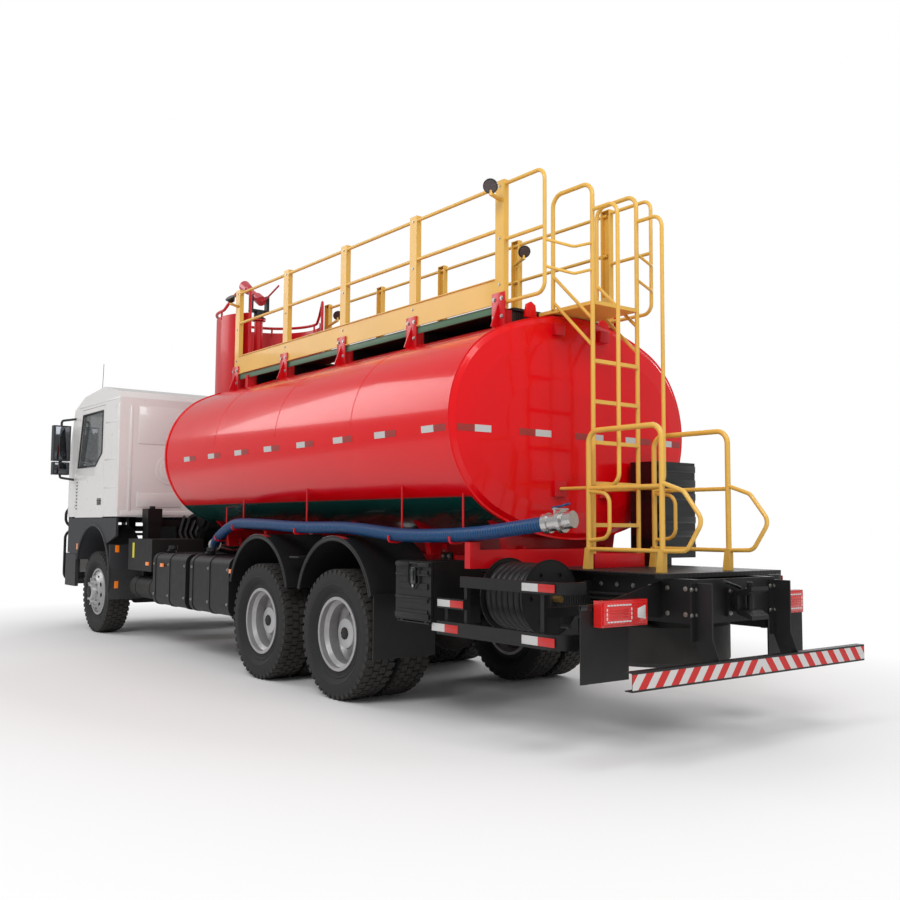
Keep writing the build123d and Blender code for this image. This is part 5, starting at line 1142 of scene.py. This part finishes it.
@dataclass
class ChassisDressing:
    """Bolts, lines, tapes, lamps and small gear on the frame."""

    lamp_x: float = -5.020
    cover_y: float = 1.2205
    case_x: float = -4.1365

    def build(self) -> None:
        """Makes each group of frame details."""
        self.rail_bolts()
        self.tapes()
        self.lines()
        self.tanks()
        self.mudguards()
        self.tail_lamps()
        self.toolbox_cover()
        self.case_cover()

    def rail_bolts(self) -> None:
        """Rows of bolts along both rails, left out where other gear covers them."""
        bolts = Workpiece("rail_bolts", ZINC, "stainless")
        places = (-5.15 + k * 0.145 for k in range(60))
        clear = [x for x in places if not (-2.9 < x < -0.2 or 2.0 < x < 3.1)]
        bolts.side_bolts(clear, 0.430, (0.86, 1.02), 0.011)
        bolts.done()

    def tapes(self) -> None:
        """Red and white tapes on the side guards' bars."""
        red = Workpiece("guard_tapes_red", GUARD_RED, "bumper_stripes")
        white = Workpiece("guard_tapes_white", TAPE_WHITE, "bumper_stripes")
        for x0, x1, z0, z1 in ((-4.760, -4.460, 0.998, 1.048), (-3.855, -3.565, 0.842, 0.890),
                               (-4.760, -4.460, 0.665, 0.720), (-3.800, -3.500, 0.665, 0.720)):
            middle = (x0 + x1) / 2
            for piece, rear, front in ((red, x0, middle), (white, middle, x1)):
                piece.pair((rear, 1.1885, z0), (front, 1.1925, z1), 0.0004)
        finished(red, white)

    def lines(self) -> None:
        """Air lines and cable looms along the rails, and pipes behind the cab."""
        looms = Workpiece("frame_looms", REEL_HOSE, "hose_blue")
        for side in SIDES:
            for k, z in enumerate((0.90, 0.93, 0.965)):
                y = side * (0.452 + 0.012 * k)
                looms.pipe([(2.05, y, z), (0.4, y, z - 0.01), (-0.2, y, z + 0.03)], 0.010)
                looms.pipe([(-3.0, y, z), (-3.8, y, z - 0.015), (-4.9, y, z)], 0.009)
        for k in range(4):
            y, top = 0.12 + 0.07 * k, 1.44 + 0.03 * k
            left = [(3.20, y, 1.20), (2.95, y + 0.05, top), (2.75, y + 0.2, 1.30), (2.40, y + 0.22, 1.07)]
            right = [(3.06, -y, 1.70), (2.93, -y - 0.03, 1.46), (2.86, -y, 1.15), (2.55, -y - 0.12, 1.07)]
            looms.pipe(left, 0.016, 0.12)
            looms.pipe(right, 0.012, 0.1)
        looms.done()

    def tanks(self) -> None:
        """Caps, a plain tag and the straps' bolts on the fuel tanks and air bottles."""
        caps = Workpiece("tank_caps", CASE_BLACK, "case_black")
        y, ring = 1.010, 0.05
        for x in (0.68, 1.73):
            caps.bar((x, y, 1.125), (x, y, 1.165), 0.056, 24, 0.050)
            for angle in (k * math.pi / 4 for k in range(8)):
                grip_x, grip_y = x + ring * math.cos(angle), y + ring * math.sin(angle)
                caps.bar((grip_x, grip_y, 1.13), (grip_x, grip_y, 1.16), 0.008, 8)
        tag = Workpiece("yellow_tag_plate", YELLOW_TAG, "rail_yellow")
        tag.block((2.70, 1.108, 1.00), (2.76, 1.114, 1.18), 0.001)
        bands = Workpiece("strap_bolts", ZINC, "stainless")
        straps = (-0.102, 0.355, 0.773, 0.969, 1.415, 1.833)
        bands.bolt_grid(straps, (1.186,), (0.62, 0.96), Axis.Y, 1, 0.010, 0.012)
        finished(caps, tag, bands)

    def mudguards(self) -> None:
        """Rolled edges, tapes and stays of the rear mudguards."""
        edge = Workpiece("mudguard_edges", SOFT_BLACK, "cab_grey")
        red = Workpiece("mudguard_tapes_red", GUARD_RED, "bumper_stripes")
        white = Workpiece("mudguard_tapes_white", TAPE_WHITE, "bumper_stripes")
        for side in SIDES:
            for x in (MIDDLE_AXLE, REAR_AXLE):
                edge.arch(x, side * 1.244, 0.574, 14.0, 19, 0.009, 8)
                crown = Matrix.Translation((x, 0, ARCH_Z))
                for piece, degrees in ((red, -12.0), (red, -4.0), (white, 4.0), (white, 12.0)):
                    tilt = crown @ Matrix.Rotation(math.radians(degrees), 4, "Y")
                    piece.block((-0.041, side * 1.200, 0.5995), (0.041, side * 1.249, 0.6010), 0.0, tilt)
        edge.pair((-1.62, 1.00, 1.12), (-1.45, 1.236, 1.135), 0.004)
        finished(edge, red, white)

    def tail_lamps(self) -> None:
        """Tail lamp faces, the bolts beside them, flap strips and the tow lever."""
        cells = Workpiece("rear_fittings", CASE_BLACK, "case_black")
        clear = Workpiece("tail_lamp_windows", LAMP_CLEAR, "lamp_clear")
        deep = Workpiece("tail_lamp_rows", LAMP_RED, "lamp_red")
        bolts = Workpiece("rear_bolts", ZINC, "stainless")
        face, front = self.lamp_x - 0.016, self.lamp_x - 0.010
        deep.pair((self.lamp_x - 0.012, 0.655, 0.812), (self.lamp_x + 0.001, 1.038, 0.948), 0.010)
        for y, z in itertools.product((0.800 + 0.027 * k for k in range(8)), (0.826, 0.926)):
            clear.pair((face, y, z), (front, y + 0.021, z + 0.010), 0.002)
        for y, z in itertools.product((0.794, 1.010), (0.842, 0.868, 0.894)):
            clear.pair((face, y, z), (front, y + 0.008, z + 0.020), 0.002)
        for z in (0.853 + 0.016 * k for k in range(4)):
            deep.pair((face - 0.001, 0.825, z), (front, 0.985, z + 0.009), 0.003)
        inner = ((0.675, 0.838), (0.745, 0.850), (0.745, 0.905), (0.675, 0.925))
        for side in SIDES:
            outline = [(self.lamp_x - 0.012, side * y, z) for y, z in inner]
            clear.plate(outline, Vector((-0.005, 0.0, 0.0)), 0.002)
        bolts.bolt_grid((-5.222,), (-0.46, -0.41, -0.36, 0.36, 0.41, 0.46), (0.86, 1.02), Axis.X, -1, 0.010)
        bolts.bolt_grid((-5.230,), (-0.085, 0.085), (0.86, 1.0), Axis.X, -1, 0.010, 0.012)
        cells.pair((-4.947, 0.73, 0.90), (-4.930, 1.15, 0.935), 0.002)
        cells.bar((-5.262, 0.02, 1.02), (-5.262, 0.20, 1.07), 0.010, 10)
        finished(cells, clear, deep, bolts)

    def toolbox_cover(self) -> None:
        """The toolbox door's moulded face: pressed border, creases and a latch in its recess."""
        face = Workpiece("toolbox_face", SOFT_BLACK, "case_black", "toolbox_door")
        y = self.cover_y
        for x0, x1, z0, z1, height, bevel in (
                (-3.505, -3.085, 0.735, 0.775, 0.010, 0.005), (-3.505, -3.085, 0.880, 0.895, 0.008, 0.004),
                (-3.505, -3.375, 1.045, 1.058, 0.008, 0.004), (-3.505, -3.375, 1.110, 1.140, 0.010, 0.005),
                (-3.255, -3.085, 1.045, 1.058, 0.008, 0.004), (-3.255, -3.085, 1.110, 1.140, 0.010, 0.005)):
            face.block((x0, y, z0), (x1, y + height, z1), bevel)
        outline = ((-3.365, 1.135), (-3.265, 1.135), (-3.245, 1.115), (-3.245, 1.00), (-3.290, 0.955),
                   (-3.340, 0.955), (-3.385, 1.00), (-3.385, 1.115))
        face.loop([(x, y + 0.002, z) for x, z in outline], 0.006)
        latch = Workpiece("toolbox_latch", CASE_BLACK, "case_black", "toolbox_door")
        latch.block((-3.345, y, 0.985), (-3.285, y + 0.010, 1.105), 0.004)
        latch.block((-3.330, y + 0.009, 1.010), (-3.300, y + 0.018, 1.085), 0.004)
        lock = Workpiece("toolbox_padlock", ZINC, "stainless", "toolbox_door")
        lock.bar((-3.315, y + 0.004, 0.972), (-3.315, y + 0.012, 0.972), 0.012, 20)
        finished(face, latch, lock)

    def case_cover(self) -> None:
        """The extinguisher case's raised bands and its catch."""
        face = Workpiece("case_bands", CASE_BLACK, "case_black", "case_door")
        skin = self.case_x + 0.002
        for z in (1.22, 1.33, 1.44, 1.62, 1.73, 1.84):
            face.block((self.case_x - 0.009, -0.945, z), (skin, -0.53, z + 0.055), 0.005)
        face.block((self.case_x - 0.016, -0.56, 1.50), (skin, -0.515, 1.59), 0.005)
        face.done()


@dataclass
class HoseDressing:
    """Details on the reel's discs and the hose's valve."""

    rim_r: float = 0.2595
    rim_depth: float = 0.0075
    rim_half: float = 0.006
    disc_out: float = 0.212

    def build(self) -> None:
        """Makes the reel's rims and the valve's lever."""
        rims = Workpiece("reel_rims", BLACK, "chassis_black", "hose_reel")
        for x in (REEL_X - self.disc_out, REEL_X + self.disc_out):
            low, high = REEL_Z + self.rim_r - self.rim_depth, REEL_Z + self.rim_r
            rear, front = x - self.rim_half, x + self.rim_half
            section = [(rear, REEL_Y, low), (front, REEL_Y, low), (front, REEL_Y, high), (rear, REEL_Y, high)]
            rims.turned(section, (x, REEL_Y, REEL_Z), Axis.X, 48, True)
        lever = Workpiece("valve_lever", BLUE_HOSE, "hose_blue")
        lever.pipe([(-4.47, 0.93, 1.53), (-4.47, 0.86, 1.54), (-4.50, 0.80, 1.56)], 0.008, 0.02)
        finished(rims, lever)


# Studio


@dataclass
class Studio:
    """Floor, lights and the camera at the photograph's place."""

    eye: Point = (-9.2135, 5.4221, 1.4008)
    yaw: float = -0.6544
    pitch: float = 0.0775
    roll: float = 0.0068
    lens: float = 39.505

    def build(self) -> None:
        """Makes the studio."""
        self.camera()
        self.floor()
        self.world()
        self.lamp("key", (-8.0, 9.5, 10.5), 720.0, 5.0)
        self.lamp("fill", (-12.0, 0.0, 10.0), 420.0, 5.0)
        self.lamp("front", (9.0, 7.0, 8.0), 360.0, 6.0)
        self.lamp("right", (2.0, -11.0, 8.0), 360.0, 6.0)

    def camera(self) -> None:
        """Points the camera along the fitted direction."""
        data = bpy.data.cameras.new("photo_camera")
        data.lens, data.sensor_width = self.lens, 36.0
        data.clip_end = 300.0
        camera = bpy.data.objects.new("photo_camera", data)
        way = Vector((math.cos(self.yaw) * math.cos(self.pitch), math.sin(self.yaw) * math.cos(self.pitch),
                      math.sin(self.pitch)))
        facing = way.to_track_quat("-Z", "Y").to_matrix().to_4x4()
        camera.matrix_world = Matrix.Translation(self.eye) @ facing @ Matrix.Rotation(self.roll, 4, "Z")
        bpy.context.scene.collection.objects.link(camera)
        bpy.context.scene.camera = camera

    def floor(self) -> None:
        """A pale floor that fades into the backdrop away from the truck."""
        shape = bmesh.new()
        bmesh.ops.create_circle(shape, cap_ends=True, segments=64, radius=80.0)
        data = bpy.data.meshes.new("floor")
        shape.to_mesh(data)
        shape.free()
        graph = Graph("floor_white")
        graph.finish((0.86, 0.86, 0.86), 0.75)
        glow = graph.node("ShaderNodeEmission", sockets={"Color": (1.0, 1.0, 1.0), "Strength": 1.0})
        x, y = graph.axis(Axis.X) * 0.62, graph.axis(Axis.Y)
        away = ((x * x + y * y).root() - 3.2) * 0.42
        seen = graph.node("ShaderNodeLightPath").outputs["Is Camera Ray"]
        blend = graph.node("ShaderNodeMixShader", sockets={0: away.clamped() * Number(graph, seen),
                                                           1: graph.shader.outputs[0], 2: glow.outputs[0]})
        output = next(n for n in graph.tree.nodes if n.type == "OUTPUT_MATERIAL")
        graph.tree.links.new(blend.outputs[0], output.inputs["Surface"])
        data.materials.append(graph.material)
        floor = bpy.data.objects.new("floor", data)
        bpy.context.scene.collection.objects.link(floor)

    def world(self) -> None:
        """Soft light from all round, and white where the camera, gloss and glass see it."""
        world = bpy.data.worlds.new("studio")
        world.use_nodes = True
        tree = world.node_tree
        tree.nodes.clear()
        path = tree.nodes.new("ShaderNodeLightPath")
        seen = tree.nodes.new("ShaderNodeMath")
        seen.operation = "MAXIMUM"
        tree.links.new(path.outputs["Is Camera Ray"], seen.inputs[0])
        tree.links.new(path.outputs["Is Transmission Ray"], seen.inputs[1])
        soft, plain = tree.nodes.new("ShaderNodeBackground"), tree.nodes.new("ShaderNodeBackground")
        soft.inputs["Strength"].default_value = 0.50
        soft.inputs["Color"].default_value = plain.inputs["Color"].default_value = (1.0, 1.0, 1.0, 1.0)
        both, output = tree.nodes.new("ShaderNodeMixShader"), tree.nodes.new("ShaderNodeOutputWorld")
        for source, target in ((seen.outputs[0], both.inputs[0]), (soft.outputs[0], both.inputs[1]),
                               (plain.outputs[0], both.inputs[2]), (both.outputs[0], output.inputs[0])):
            tree.links.new(source, target)
        bpy.context.scene.world = world

    def lamp(self, name: str, place: Point, power: float, size: float) -> None:
        """Adds a large soft lamp aimed at the truck's middle."""
        data = bpy.data.lights.new(name, "AREA")
        data.energy, data.size = power, size
        lamp = bpy.data.objects.new(name, data)
        aim = (Vector((0.0, 0.0, 1.5)) - Vector(place)).to_track_quat("-Z", "Y")
        lamp.matrix_world = Matrix.Translation(place) @ aim.to_matrix().to_4x4()
        bpy.context.scene.collection.objects.link(lamp)


def dress_nodes(nodes: dict[str, bpy.types.Object]) -> None:
    """Gives each CAD node its finish; rims take one centred on their own axle."""
    finishes = {name: finish for finish, names in NODE_FINISHES.items() for name in names}
    for name, node in nodes.items():
        if name.endswith(("_rim", "_rims")):
            x = FRONT_AXLE if "front" in name else MIDDLE_AXLE if "middle" in name else REAR_AXLE
            finish: Finish = RimPaint(f"rim_silver_{x:.2f}", (0.52, 0.52, 0.53), 0.34, metallic=0.6, grain=200.0,
                                      axle_x=x)
        else:
            finish = finishes.get(name, SOFT_BLACK)
        node.data.materials.clear()
        node.data.materials.append(finish.material())


def main(frame: dict[str, Any]) -> None:
    """Builds every sub-assembly in order.
    """
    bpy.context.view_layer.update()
    bpy.context.scene.view_settings.view_transform = "Standard"
    dress_nodes(frame["nodes"])
    tank = Skin(frame["nodes"]["tank"])
    for part in (Wheels(), TankDressing(tank), RailingDressing(), CabDressing(), ChassisDressing(), HoseDressing(),
                 Studio()):
        part.build()
        LOG.info("%s built", type(part).__name__)


if __name__ == "__main__":
    logging.basicConfig(level=logging.INFO)
    main(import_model())
